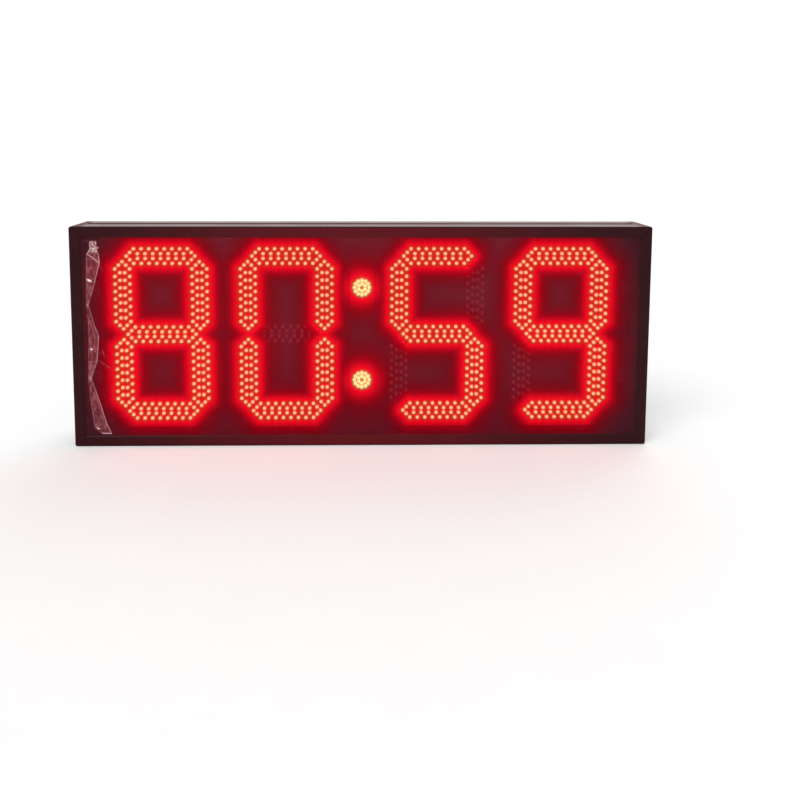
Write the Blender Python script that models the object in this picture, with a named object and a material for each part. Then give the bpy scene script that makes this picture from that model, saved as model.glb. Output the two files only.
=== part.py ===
"""Four-digit lamp scoreboard in an extruded aluminium frame.

The display reads through a tinted window. Every digit is a circuit board with seven segments of
single round lamps, drawn here as four-sided studs. Metres, +Z up, the window faces -Y, and the
origin is under the middle of the part, on the surface that it stands on.
"""
import math

import bmesh
import bpy
from mathutils import Matrix, Vector

# Whole part
body_width = 0.660
body_height = 0.255
body_depth = 0.055
seam = 0.0003

# Frame extrusion, measured inwards from its outer face and back from the front
frame_wall = 0.0020
lip_width = 0.0125
lip_thickness = 0.0020
lip_bevel = 0.0010
edge_radius = 0.0018
edge_steps = 3
groove_width = 0.0095
groove_depth = 0.0030
groove_middle = 0.0285
keeper_thickness = 0.0015
keeper_height = 0.0080
flange_width = 0.0120
flange_thickness = 0.0020
port_middle = 0.0080
port_depth = 0.0080
port_wall = 0.0013

# Moulded corners
corner_radius = 0.0024
corner_steps = 3
tenon_length = 0.0150
tenon_height = 0.0065

# Window and the strip of protective film left on it
window_thickness = 0.0030
film_thickness = 0.0003
film_rise = 0.0012
film_reach = 0.0440
film_gap_above = 0.0035
film_gap_below = 0.0010
# Rows from the top down: height, left edge and right edge, each as a share of span or reach
film_rows = ((1.000, 0.591, 0.705), (0.970, 0.545, 0.750), (0.890, 0.466, 0.795),
             (0.795, 0.432, 0.636), (0.695, 0.391, 0.489), (0.540, 0.409, 0.670),
             (0.435, 0.420, 0.705), (0.325, 0.398, 0.545), (0.275, 0.398, 0.523),
             (0.125, 0.448, 0.736), (0.030, 0.514, 0.932), (0.000, 0.659, 1.000))
film_folds = (0.0, 0.35, 0.65, 1.0)
film_turn_down = 2.3
film_turn_across = 1.9

# Circuit boards
board_thickness = 0.0016
board_margin = 0.0155
board_inset = 0.0265
board_gap = 0.0006
colon_pitch = 0.0310
header_length = 0.0160
header_height = 0.0090
header_depth = 0.0060
header_inset = 0.0220
header_rise = 0.0345
link_drop = 0.0200

# Lamps: a segment is four staggered rows, a shoulder pair and a tip lamp at both ends
lamp_radius = 0.0020
lamp_length = 0.0060
lamp_front = 0.0140
outer_row_count = 8
inner_row_count = 7
outer_row_offset = 0.0085
inner_row_offset = 0.0028
shoulder_offset = 0.0042
tip_step = 0.0040
tip_clearance = 0.0065
side_clearance = 0.0050
digit_margin = 0.02055

# Colon: two round clusters, a share of the way up to the top segment and down to the lowest
colon_share = 0.598
colon_inner_radius = 0.00415
colon_inner_count = 6
colon_outer_radius = 0.0085
colon_outer_count = 12

# Carriers behind the boards
carrier_height = 0.0160
carrier_depth = 0.0100
carrier_wall = 0.0015
carrier_offset = 0.0525

# Infrared receiver below the colon
receiver_width = 0.0076
receiver_height = 0.0086
receiver_depth = 0.0050
receiver_lift = 0.0170
receiver_dome = 0.0026
receiver_dome_sides = 8
receiver_dome_taper = 0.6

# Back panel and its screws
panel_thickness = 0.0015
screw_shank = 0.0015
screw_head = 0.0032
screw_head_height = 0.0018
screw_reach = 0.0060
screw_crown_width = 0.72
screw_crown_height = 0.85
screw_sides = 10
hole_sides = 8
screw_inset = 0.140

# Hanging ears, which swing on a sunk screw through the panel
ear_inset = 0.068
ear_thickness = 0.0020
ear_width = 0.0150
ear_reach = 0.0300
ear_end_steps = 8
keyhole_radius = 0.0042
keyhole_slot = 0.0023
keyhole_length = 0.0058
keyhole_steps = 14
slot_end_steps = 5
pivot_shank = 0.0021
pivot_head = 0.0036

# Mains inlet, straight under the left ear
mains_height = 0.048
inlet_flange_lip = 0.0019
inlet_flange_thickness = 0.0020
inlet_body_width = 0.0265
inlet_body_height = 0.0195
inlet_body_depth = 0.0170
inlet_wall = 0.0014
inlet_floor = 0.0030
inlet_corner = 0.0040
blade_width = 0.0020
blade_height = 0.0040
blade_length = 0.0115
blade_spacing = 0.0070
blade_lift = 0.0030

# Rocker switch beside the inlet
switch_spacing = 0.040
switch_flange_lip = 0.0014
switch_flange_thickness = 0.0020
switch_body_depth = 0.0120
switch_wall = 0.0013
rocker_half_length = 0.0070
rocker_half_width = 0.0046
rocker_rise = 0.0026
rocker_dip = 0.0012
rocker_belly = 0.0042
rocker_belly_steps = 6
rocker_belly_cut = 0.15
rocker_tilt = math.radians(10)
rocker_pivot_depth = 0.0016

# Power supply on the back panel
supply_length = 0.129
supply_height = 0.060
supply_depth = 0.022
supply_inset = 0.200
supply_drop = 0.0055
supply_bevel = 0.0012
terminal_length = 0.0120
terminal_step = 0.0100

# Control board on the back panel, level with the supply
control_length = 0.090
control_height = 0.060
control_inset = 0.225
post_radius = 0.0030
post_length = 0.0060
post_inset = 0.0050
post_sides = 6
chip_length = 0.0180
chip_height = 0.0120
chip_depth = 0.0024

# Wiring kept inside
ribbon_width = 0.0127
ribbon_thickness = 0.0009
ribbon_rise = 0.0090
ribbon_roundness = 0.6
ribbon_steps = 10
lead_radius = 0.0020
lead_run = 0.0050
lead_steps = 6
lead_room = 0.0015
lead_sag = 0.0150

# Depths that follow from the sizes above, all measured back from the front of the frame
window_front = lip_thickness + seam
keeper_front = window_front + window_thickness + seam
keeper_back = keeper_front + keeper_thickness
groove_front = groove_middle - groove_width / 2
groove_back = groove_middle + groove_width / 2
panel_front = body_depth - panel_thickness
flange_back = panel_front - seam
flange_front = flange_back - flange_thickness
port_floor = flange_back - port_depth
port_front = port_floor - port_wall
board_front = lamp_front + lamp_length
board_back = board_front + board_thickness
header_back = board_back + header_depth
carrier_front = board_back + seam
carrier_back = carrier_front + carrier_depth
back_part = max(ear_thickness, inlet_flange_thickness, switch_flange_thickness)
total_depth = body_depth + seam + back_part
front_y = -total_depth / 2
middle_z = body_height / 2
control_front = panel_front - seam - post_length - board_thickness

# Boards and lamps, from the frame that holds them
digit_pitch = (body_width - 2 * board_inset - colon_pitch) / 4
digit_board_width = digit_pitch - board_gap
board_height = body_height - 2 * board_margin
segment_rise = board_height / 2 - digit_margin
tip_reach = segment_rise / 2 - tip_clearance
shoulder_reach = tip_reach - tip_step
row_pitch = 2 * shoulder_reach / outer_row_count
segment_side = tip_reach + side_clearance
colon_rise = colon_share * segment_rise
header_reach = digit_board_width / 2 - header_inset

# Places across the back
screw_column = body_width / 2 - screw_inset
ear_offset = body_width / 2 - ear_inset
inlet_x = -ear_offset
switch_x = inlet_x + switch_spacing
supply_x = supply_inset - body_width / 2
control_x = body_width / 2 - control_inset
supply_z = middle_z - supply_drop

# The rocker's ends pass this far from its pivot, so the switch body is built round them
rocker_reach = math.hypot(rocker_half_length, rocker_rise)
switch_body_width = 2 * (rocker_half_width + seam + switch_wall)
switch_body_height = 2 * (rocker_reach + seam + switch_wall)

# Distances inwards from the outer faces
port_half = screw_shank + seam
port_low = port_middle - port_half
port_high = port_middle + port_half
bump_height = groove_depth + frame_wall
slot_inset = frame_wall + seam
corner_side = max(lip_width, flange_width)


def spot(x, depth, z):
    """World point from a place across, a depth behind the front, and a height."""
    return Vector((x, front_y + depth, z))


def make_material(name, colour, roughness, metallic=0.0, alpha=1.0, glow=0.0):
    """Principled material of one piece."""
    material = bpy.data.materials.new(name)
    material.use_nodes = True
    shader = material.node_tree.nodes["Principled BSDF"]
    shader.inputs["Base Color"].default_value = (*colour, 1.0)
    shader.inputs["Roughness"].default_value = roughness
    shader.inputs["Metallic"].default_value = metallic
    shader.inputs["Alpha"].default_value = alpha
    shader.inputs["Emission Color"].default_value = (*colour, 1.0)
    shader.inputs["Emission Strength"].default_value = glow
    material.diffuse_color = (*colour, alpha)
    return material


def add_piece(name, mesh, material, location=(0, 0, 0), turn=0.0, smooth=False):
    """Object with its own origin, turned about the depth axis."""
    piece = bpy.data.objects.new(name, mesh)
    bpy.context.scene.collection.objects.link(piece)
    piece.location = location
    piece.rotation_euler = (0.0, turn, 0.0)
    if not mesh.materials:
        mesh.materials.append(material)
    if smooth:
        mesh.shade_smooth()
        mesh.set_sharp_from_angle(angle=math.radians(35))
    return piece


def finish_mesh(shape, name):
    """Close the working mesh: normals face outwards."""
    bmesh.ops.recalc_face_normals(shape, faces=shape.faces)
    mesh = bpy.data.meshes.new(name)
    shape.to_mesh(mesh)
    shape.free()
    return mesh


def combine(name, base, tool, operation):
    """Mesh of one closed body cut by, or joined to, another."""
    target = bpy.data.objects.new(name + "_target", base)
    other = bpy.data.objects.new(name + "_tool", tool)
    for helper in (target, other):
        bpy.context.scene.collection.objects.link(helper)
    step = target.modifiers.new("combine", "BOOLEAN")
    step.operation = operation
    step.solver = "EXACT"
    step.object = other
    bpy.context.view_layer.update()
    graph = bpy.context.evaluated_depsgraph_get()
    result = bpy.data.meshes.new_from_object(target.evaluated_get(graph))
    result.name = name
    for helper in (target, other):
        bpy.data.objects.remove(helper)
    return result


def add_box(shape, low, high):
    """Box between two corners inside a working mesh."""
    low = Vector(low)
    high = Vector(high)
    place = Matrix.Translation((low + high) / 2) @ Matrix.Diagonal((*(high - low), 1.0))
    return bmesh.ops.create_cube(shape, size=1.0, matrix=place)["verts"]


def add_loop(shape, points):
    """Closed ring of edges through the points."""
    ring = [shape.verts.new(point) for point in points]
    return ring, [shape.edges.new((ring[i - 1], ring[i])) for i in range(len(ring))]


def move_raised(shape, raised, depth):
    """Shift the points that an extrusion has made, along the depth axis."""
    moved = [item for item in raised["geom"] if isinstance(item, bmesh.types.BMVert)]
    bmesh.ops.translate(shape, verts=moved, vec=(0.0, depth, 0.0))
    return moved


def circle(radius, count, centre=(0.0, 0.0), start=0.0):
    """Points of a regular ring."""
    turns = [start + 2 * math.pi * i / count for i in range(count)]
    return [(centre[0] + radius * math.cos(a), centre[1] + radius * math.sin(a)) for a in turns]


def arc(centre, radius, first, last, steps):
    """Points from one angle to another."""
    angles = [first + (last - first) * i / steps for i in range(steps + 1)]
    return [(centre[0] + radius * math.cos(a), centre[1] + radius * math.sin(a)) for a in angles]


def rectangle(width, height, centre=(0.0, 0.0)):
    """Corners of a rectangle, anticlockwise."""
    half_x = width / 2
    half_z = height / 2
    signs = ((-1, -1), (1, -1), (1, 1), (-1, 1))
    return [(centre[0] + i * half_x, centre[1] + j * half_z) for i, j in signs]


def plate_mesh(name, outline, holes, front, back):
    """Flat piece with holes, between two depths. Outline and holes are (across, height) rings."""
    shape = bmesh.new()
    edges = []
    for ring in [outline] + holes:
        edges += add_loop(shape, [(x, front, z) for x, z in ring])[1]
    bmesh.ops.triangle_fill(shape, use_beauty=True, use_dissolve=False, edges=edges)
    raised = bmesh.ops.extrude_face_region(shape, geom=list(shape.faces), use_keep_orig=True)
    move_raised(shape, raised, back - front)
    return finish_mesh(shape, name)


def profile_mesh(name, profile, start, end, place):
    """Extrusion: place(along, a, b) sets each profile point (a, b) at a distance along."""
    shape = bmesh.new()
    face = shape.faces.new([shape.verts.new(place(start, a, b)) for a, b in profile])
    raised = bmesh.ops.extrude_face_region(shape, geom=[face], use_keep_orig=True)
    moved = [item for item in raised["geom"] if isinstance(item, bmesh.types.BMVert)]
    shift = Vector(place(end, 0.0, 0.0)) - Vector(place(start, 0.0, 0.0))
    bmesh.ops.translate(shape, verts=moved, vec=shift)
    return finish_mesh(shape, name)


def turned_mesh(name, outline, sides):
    """Body turned about the depth axis. Outline is (radius, depth) from axis to axis."""
    shape = bmesh.new()
    verts = [shape.verts.new((radius, depth, 0.0)) for radius, depth in outline]
    edges = [shape.edges.new(pair) for pair in zip(verts, verts[1:])]
    bmesh.ops.spin(shape, geom=verts + edges, cent=(0, 0, 0), axis=(0, 1, 0), dvec=(0, 0, 0),
                   angle=2 * math.pi, steps=sides, use_merge=True, use_duplicate=False)
    bmesh.ops.remove_doubles(shape, verts=shape.verts, dist=1e-6)
    return finish_mesh(shape, name)


def raise_faces(shape, faces, depth):
    """Push faces of a closed body out along the depth axis, with walls behind them."""
    raised = bmesh.ops.extrude_face_region(shape, geom=faces)
    bmesh.ops.delete(shape, geom=faces, context="FACES_ONLY")
    return move_raised(shape, raised, depth)


def frame_profile():
    """Section of the frame: (depth, inwards) points from the front edge round to the lip."""
    rounded = arc((edge_radius, edge_radius), edge_radius, math.pi, 1.5 * math.pi, edge_steps)
    groove = [(groove_front, 0.0), (groove_front, groove_depth),
              (groove_back, groove_depth), (groove_back, 0.0)]
    rabbet = [(body_depth, 0.0), (body_depth, frame_wall), (flange_back, frame_wall)]
    port = [(flange_back, port_low), (port_floor, port_low),
            (port_floor, port_high), (flange_back, port_high)]
    flange = [(flange_back, flange_width), (flange_front, flange_width),
              (flange_front, port_high + port_wall), (port_front, port_high + port_wall),
              (port_front, port_low - port_wall), (flange_front, port_low - port_wall),
              (flange_front, frame_wall)]
    bump = [(groove_back + frame_wall, frame_wall), (groove_back + frame_wall, bump_height),
            (groove_front - frame_wall, bump_height), (groove_front - frame_wall, frame_wall)]
    keeper = [(keeper_back, frame_wall), (keeper_back, keeper_height),
              (keeper_front, keeper_height), (keeper_front, frame_wall)]
    lip = [(lip_thickness, frame_wall), (lip_thickness, lip_width),
           (lip_bevel, lip_width), (0.0, lip_width - lip_bevel)]
    return rounded + groove + rabbet + port + flange + bump + keeper + lip


def build_frame(material):
    """Four straight rails, square cut, between the moulded corners."""
    rails = (
        ("frame_top_rail", body_width, (0.0, body_height), 0.0),
        ("frame_right_rail", body_height, (body_width / 2, middle_z), math.pi / 2),
        ("frame_bottom_rail", body_width, (0.0, 0.0), math.pi),
        ("frame_left_rail", body_height, (-body_width / 2, middle_z), -math.pi / 2),
    )
    for name, side, middle, turn in rails:
        half = side / 2 - corner_side - seam
        mesh = profile_mesh(name, frame_profile(), -half, half,
                            lambda along, depth, inwards: (along, depth, -inwards))
        add_piece(name, mesh, material, spot(middle[0], 0.0, middle[1]), turn)


def corner_mesh():
    """Moulded corner at upper left of its own frame, its outer corner at the origin."""
    block = bmesh.new()
    add_box(block, (0.0, 0.0, -corner_side), (corner_side, body_depth, 0.0))
    upright = [edge for edge in block.edges
               if all(abs(v.co.x) < seam and abs(v.co.z) < seam for v in edge.verts)]
    bmesh.ops.bevel(block, geom=upright, offset=corner_radius, segments=corner_steps,
                    profile=0.5, affect="EDGES", material=-1)
    rim = [edge for edge in block.edges
           if all(abs(v.co.y) < seam for v in edge.verts)
           and not all(abs(v.co.x - corner_side) < seam for v in edge.verts)
           and not all(abs(v.co.z + corner_side) < seam for v in edge.verts)]
    bmesh.ops.bevel(block, geom=rim, offset=edge_radius, segments=edge_steps,
                    profile=0.5, affect="EDGES", material=-1)
    solid = finish_mesh(block, "corner_block")

    pockets = bmesh.new()
    beyond = corner_side + tenon_length
    for front, back in ((lip_thickness, keeper_front), (flange_back, body_depth + seam)):
        add_box(pockets, (frame_wall, front, -beyond), (beyond, back, -frame_wall))
    solid = combine("corner_pocketed", solid, finish_mesh(pockets, "corner_pockets"), "DIFFERENCE")

    channels = ((keeper_back + seam, groove_front - frame_wall - seam),
                (groove_back + frame_wall + seam, port_front - seam))
    for index, (front, back) in enumerate(channels):
        root = corner_side / 2
        low = slot_inset
        high = slot_inset + tenon_height
        tenons = bmesh.new()
        add_box(tenons, (root, front, -high), (beyond, back, -low))
        tongue = finish_mesh(tenons, "tenon_across")
        solid = combine(f"corner_across_{index}", solid, tongue, "UNION")
        tenons = bmesh.new()
        add_box(tenons, (low, front, -beyond), (high, back, -root))
        tongue = finish_mesh(tenons, "tenon_down")
        solid = combine(f"corner_down_{index}", solid, tongue, "UNION")
    return solid


def build_corners(material):
    """The same moulding four times, turned a quarter each time."""
    mesh = corner_mesh()
    half = body_width / 2
    corners = (
        ("corner_top_left", -half, body_height, 0.0),
        ("corner_top_right", half, body_height, math.pi / 2),
        ("corner_bottom_right", half, 0.0, math.pi),
        ("corner_bottom_left", -half, 0.0, -math.pi / 2),
    )
    for name, x, z, turn in corners:
        add_piece(name, mesh, material, spot(x, 0.0, z), turn)


def build_window(material):
    """Tinted sheet held in the slot behind the lip on all four sides."""
    outline = rectangle(body_width - 2 * slot_inset, body_height - 2 * slot_inset)
    mesh = plate_mesh("window", outline, [], 0.0, window_thickness)
    add_piece("window", mesh, material, spot(0.0, window_front, middle_z))


def build_film(material):
    """Crumpled strip of protective film, drawn in twice, along the left of the window."""
    lower = lip_width + film_gap_below
    span = body_height - 2 * lip_width - film_gap_below - film_gap_above
    flat = window_front - seam - film_thickness
    shape = bmesh.new()
    grid = []
    for index, (share, left, right) in enumerate(film_rows):
        line = []
        for column, across in enumerate(film_folds):
            wave = math.cos(film_turn_down * index + film_turn_across * column)
            crest = film_rise * (1.0 + wave) / 2 if 0.0 < across < 1.0 else 0.0
            x = film_reach * (left + (right - left) * across) - body_width / 2
            line.append(shape.verts.new((x, flat - crest, lower + span * share)))
        grid.append(line)
    for upper, under in zip(grid, grid[1:]):
        for k in range(len(film_folds) - 1):
            shape.faces.new((upper[k], upper[k + 1], under[k + 1], under[k]))
    bmesh.ops.recalc_face_normals(shape, faces=shape.faces)
    raised = bmesh.ops.extrude_face_region(shape, geom=list(shape.faces), use_keep_orig=True)
    move_raised(shape, raised, film_thickness)
    add_piece("protective_film", finish_mesh(shape, "protective_film"), material,
              spot(0.0, 0.0, 0.0))


def segment_lamps():
    """Lamp places of one segment, (along, across) from its middle."""
    places = []
    for count, offset in ((outer_row_count, outer_row_offset), (inner_row_count, inner_row_offset)):
        for i in range(count):
            along = (i - (count - 1) / 2) * row_pitch
            places += [(along, offset), (along, -offset)]
    for end in (-1, 1):
        places += [(end * shoulder_reach, shoulder_offset), (end * shoulder_reach, -shoulder_offset)]
        places.append((end * tip_reach, 0.0))
    return places


def digit_lamps():
    """Lamp places of the seven segments, (across, height) from the digit's middle."""
    places = []
    for rise in (-segment_rise, 0.0, segment_rise):
        places += [(along, rise + across) for along, across in segment_lamps()]
    for side in (-segment_side, segment_side):
        for rise in (-segment_rise / 2, segment_rise / 2):
            places += [(side + across, rise + along) for along, across in segment_lamps()]
    return places


def colon_lamps():
    """Lamp places of the two round clusters."""
    places = []
    for rise in (-colon_rise, colon_rise):
        quarter = math.pi / colon_inner_count
        places += circle(colon_inner_radius, colon_inner_count, (0.0, rise), quarter)
        places += circle(colon_outer_radius, colon_outer_count, (0.0, rise))
    return places


def board_mesh(name, width, height, lamps, headers):
    """Circuit board: lamps raised on its front face, headers on its back."""
    shape = bmesh.new()
    rim_edges = add_loop(shape, [(x, 0.0, z) for x, z in rectangle(width, height)])[1]
    edges = list(rim_edges)
    feet = []
    for centre in lamps:
        ring, ring_edges = add_loop(
            shape, [(x, 0.0, z) for x, z in circle(lamp_radius, 4, centre, math.pi / 4)])
        feet.append(ring)
        edges += ring_edges
    bmesh.ops.triangle_fill(shape, use_beauty=True, use_dissolve=False, edges=edges)
    lamp_faces = [shape.faces.new(ring) for ring in feet]

    wall = bmesh.ops.extrude_edge_only(shape, edges=rim_edges)
    moved = move_raised(shape, wall, board_thickness)
    edges = [edge for edge in shape.edges if all(v in moved for v in edge.verts)]
    feet = []
    for centre in headers:
        foot = rectangle(header_length, header_height, centre)
        ring, ring_edges = add_loop(shape, [(x, board_thickness, z) for x, z in foot])
        feet.append(ring)
        edges += ring_edges
    bmesh.ops.triangle_fill(shape, use_beauty=True, use_dissolve=False, edges=edges)
    header_faces = [shape.faces.new(ring) for ring in feet]
    bmesh.ops.recalc_face_normals(shape, faces=shape.faces)

    bmesh.ops.poke(shape, faces=lamp_faces, offset=lamp_length, center_mode="MEAN",
                   use_relative_offset=False)
    raise_faces(shape, header_faces, header_depth)
    return finish_mesh(shape, name)


def digit_centres():
    """Middles of the four digits, left to right."""
    inner = (digit_pitch + colon_pitch) / 2
    outer = inner + digit_pitch
    return (-outer, -inner, inner, outer)


def build_boards(material):
    """Four digit boards and the narrow colon board. The third digit takes the control signals."""
    headers = [(-header_reach, header_rise), (header_reach, header_rise)]
    for number, x in enumerate(digit_centres(), start=1):
        extra = [(header_reach, -link_drop)] if number == 3 else []
        name = f"digit_{number}_board"
        mesh = board_mesh(name, digit_board_width, board_height, digit_lamps(), headers + extra)
        add_piece(name, mesh, material, spot(x, board_front, middle_z))
    mesh = board_mesh("colon_board", colon_pitch - board_gap, board_height, colon_lamps(),
                      [(0.0, header_rise)])
    add_piece("colon_board", mesh, material, spot(0.0, board_front, middle_z))


def build_receiver(material):
    """Infrared receiver: a block with a round lens, on the colon board under the colon."""
    shape = bmesh.new()
    outline = rectangle(receiver_width, receiver_height)
    lens = circle(receiver_dome, receiver_dome_sides)
    rim_edges = add_loop(shape, [(x, 0.0, z) for x, z in outline])[1]
    ring, ring_edges = add_loop(shape, [(x, 0.0, z) for x, z in lens])
    bmesh.ops.triangle_fill(shape, use_beauty=True, use_dissolve=False, edges=rim_edges + ring_edges)
    dome = shape.faces.new(ring)
    wall = bmesh.ops.extrude_edge_only(shape, edges=rim_edges)
    moved = move_raised(shape, wall, receiver_depth)
    back_edges = [edge for edge in shape.edges if all(v in moved for v in edge.verts)]
    bmesh.ops.contextual_create(shape, geom=back_edges)
    bmesh.ops.recalc_face_normals(shape, faces=shape.faces)
    crown = raise_faces(shape, [dome], -receiver_dome / 2)
    bmesh.ops.scale(shape, verts=crown, vec=(receiver_dome_taper, 1.0, receiver_dome_taper))
    depth = board_front - seam - receiver_depth
    add_piece("infrared_receiver", finish_mesh(shape, "infrared_receiver"), material,
              spot(0.0, depth, middle_z - board_height / 2 + receiver_lift))


def build_carriers(material):
    """Two channels that carry the boards, between the inner faces of the side rails."""
    half = body_width / 2 - bump_height - seam
    top = carrier_height / 2
    leg = top - carrier_wall
    profile = [(0.0, -top), (carrier_depth, -top), (carrier_depth, -leg), (carrier_wall, -leg),
               (carrier_wall, leg), (carrier_depth, leg), (carrier_depth, top), (0.0, top)]
    for name, side in (("upper_carrier", 1), ("lower_carrier", -1)):
        mesh = profile_mesh(name, profile, -half, half,
                            lambda along, depth, rise: (along, depth, rise))
        add_piece(name, mesh, material, spot(0.0, carrier_front, middle_z + side * carrier_offset))


def screw_places():
    """Panel screws, (across, height), all over the screw port of a rail."""
    high = body_height - port_middle
    side = body_width / 2 - port_middle
    places = []
    for z in (high, port_middle):
        places += [(-screw_column, z), (0.0, z), (screw_column, z)]
    return places + [(-side, middle_z), (side, middle_z)]


def ear_places():
    """Pivots of the hanging ears, over the top rail's screw port."""
    return ((-ear_offset, body_height - port_middle), (ear_offset, body_height - port_middle))


def build_panel(material):
    """Back panel, set into the frame, with its screw holes and the two mains openings."""
    def local(x, z):
        return x, z - middle_z

    outline = rectangle(body_width - 2 * slot_inset, body_height - 2 * slot_inset)
    holes = [circle(screw_shank + seam, hole_sides, local(x, z)) for x, z in screw_places()]
    holes += [circle(pivot_shank + seam, hole_sides, local(x, z)) for x, z in ear_places()]
    holes.append(rectangle(inlet_body_width + 2 * seam, inlet_body_height + 2 * seam,
                           local(inlet_x, mains_height)))
    holes.append(rectangle(switch_body_width + 2 * seam, switch_body_height + 2 * seam,
                           local(switch_x, mains_height)))
    mesh = plate_mesh("back_panel", outline, holes, 0.0, panel_thickness)
    add_piece("back_panel", mesh, material, spot(0.0, panel_front, middle_z))


def screw_point():
    """End of a screw in the port of the rail, (radius, depth behind the frame)."""
    return [(0.0, -screw_reach), (screw_shank, -screw_reach)]


def build_screws(material):
    """Eight panel screws with domed heads."""
    crown = (screw_head * screw_crown_width, seam + screw_head_height * screw_crown_height)
    head = [(screw_shank, seam), (screw_head, seam), crown, (0.0, seam + screw_head_height)]
    mesh = turned_mesh("panel_screw", screw_point() + head, screw_sides)
    for number, (x, z) in enumerate(screw_places(), start=1):
        add_piece(f"panel_screw_{number}", mesh, material, spot(x, body_depth, z), smooth=True)


def ear_mesh():
    """Hanging ear, pivot at the origin, with its keyhole below and its back sunk for the pivot."""
    half = ear_width / 2
    lower = arc((0.0, -ear_reach), half, -math.pi, 0.0, ear_end_steps)
    upper = arc((0.0, 0.0), half, 0.0, math.pi, ear_end_steps)
    open_angle = math.asin(keyhole_slot / keyhole_radius)
    entry = arc((0.0, keyhole_length - ear_reach), keyhole_radius, -math.pi / 2 + open_angle,
                1.5 * math.pi - open_angle, keyhole_steps)
    slot_end = arc((0.0, -ear_reach), keyhole_slot, -math.pi, 0.0, slot_end_steps)
    plate = plate_mesh("ear_plate", lower + upper, [entry + slot_end], 0.0, ear_thickness)
    bore = pivot_shank + seam
    mouth = pivot_head + 2 * seam
    sink = turned_mesh("ear_sink", [(0.0, -seam), (bore, -seam), (bore, ear_thickness - mouth + bore),
                                    (mouth + seam, ear_thickness + seam),
                                    (0.0, ear_thickness + seam)], screw_sides)
    return combine("hanging_ear", plate, sink, "DIFFERENCE")


def build_ears(ear_material, screw_material):
    """Two ears that hang down behind the panel and swing up past the top, and their screws."""
    mesh = ear_mesh()
    shoulder = panel_front - body_depth
    head = [(screw_shank, shoulder), (pivot_shank, shoulder),
            (pivot_shank, ear_thickness - pivot_head + pivot_shank),
            (pivot_head, ear_thickness), (0.0, ear_thickness)]
    pivot = turned_mesh("ear_pivot", screw_point() + head, screw_sides)
    for side, (x, z) in zip(("left", "right"), ear_places()):
        add_piece(f"hanging_ear_{side}", mesh, ear_material, spot(x, body_depth + seam, z))
        add_piece(f"ear_pivot_{side}", pivot, screw_material, spot(x, body_depth, z), smooth=True)


def chamfered(width, height, chamfer):
    """Socket outline: a rectangle with its two upper corners cut off."""
    x = width / 2
    z = height / 2
    return [(-x, -z), (x, -z), (x, z - chamfer), (x - chamfer, z), (-x + chamfer, z),
            (-x, z - chamfer)]


def build_inlet(material):
    """Three-blade mains inlet: flange on the panel, body behind it, blades in the socket."""
    body = plate_mesh("inlet_body", rectangle(inlet_body_width, inlet_body_height), [],
                      -inlet_body_depth, seam + inlet_flange_thickness / 2)
    outline = rectangle(inlet_body_width + 2 * inlet_flange_lip,
                        inlet_body_height + 2 * inlet_flange_lip)
    flange = plate_mesh("inlet_flange", outline, [], seam, seam + inlet_flange_thickness)
    solid = combine("inlet_blank", body, flange, "UNION")
    width = inlet_body_width - 2 * inlet_wall
    height = inlet_body_height - 2 * inlet_wall
    floor = inlet_floor - inlet_body_depth
    socket = plate_mesh("inlet_socket", chamfered(width, height, inlet_corner), [],
                        floor, 2 * inlet_flange_thickness)
    solid = combine("inlet_socketed", solid, socket, "DIFFERENCE")
    places = ((-blade_spacing, 0.0), (0.0, blade_lift), (blade_spacing, 0.0))
    for index, (x, z) in enumerate(places):
        blade = plate_mesh("inlet_blade", rectangle(blade_width, blade_height, (x, z)), [],
                           floor - inlet_floor / 2, floor + blade_length)
        solid = combine(f"inlet_bladed_{index}", solid, blade, "UNION")
    add_piece("power_inlet", solid, material, spot(inlet_x, body_depth, mains_height))


def build_switch(body_material, rocker_material):
    """Switch body with an open well, and the rocker that tips in it about a level pivot."""
    body = plate_mesh("switch_body", rectangle(switch_body_width, switch_body_height), [],
                      -switch_body_depth, seam + switch_flange_thickness / 2)
    outline = rectangle(switch_body_width + 2 * switch_flange_lip,
                        switch_body_height + 2 * switch_flange_lip)
    flange = plate_mesh("switch_flange", outline, [], seam, seam + switch_flange_thickness)
    solid = combine("switch_blank", body, flange, "UNION")
    well_floor = rocker_pivot_depth + rocker_belly + seam
    outline = rectangle(switch_body_width - 2 * switch_wall, switch_body_height - 2 * switch_wall)
    well = plate_mesh("switch_well", outline, [], -well_floor, 2 * switch_flange_thickness)
    solid = combine("switch_housing", solid, well, "DIFFERENCE")
    add_piece("switch_housing", solid, body_material, spot(switch_x, body_depth, mains_height))

    belly = arc((0.0, 0.0), rocker_belly, -math.pi * (1.0 - rocker_belly_cut),
                -math.pi * rocker_belly_cut, rocker_belly_steps)
    crown = [(rocker_half_length, rocker_rise), (0.0, rocker_rise - rocker_dip),
             (-rocker_half_length, rocker_rise)]
    tilt = Matrix.Rotation(rocker_tilt, 2)
    profile = [tilt @ Vector(point) for point in belly + crown]
    mesh = profile_mesh("switch_rocker", profile, -rocker_half_width, rocker_half_width,
                        lambda along, rise, depth: (along, depth, rise))
    add_piece("switch_rocker", mesh, rocker_material,
              spot(switch_x, body_depth - rocker_pivot_depth, mains_height))


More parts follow.
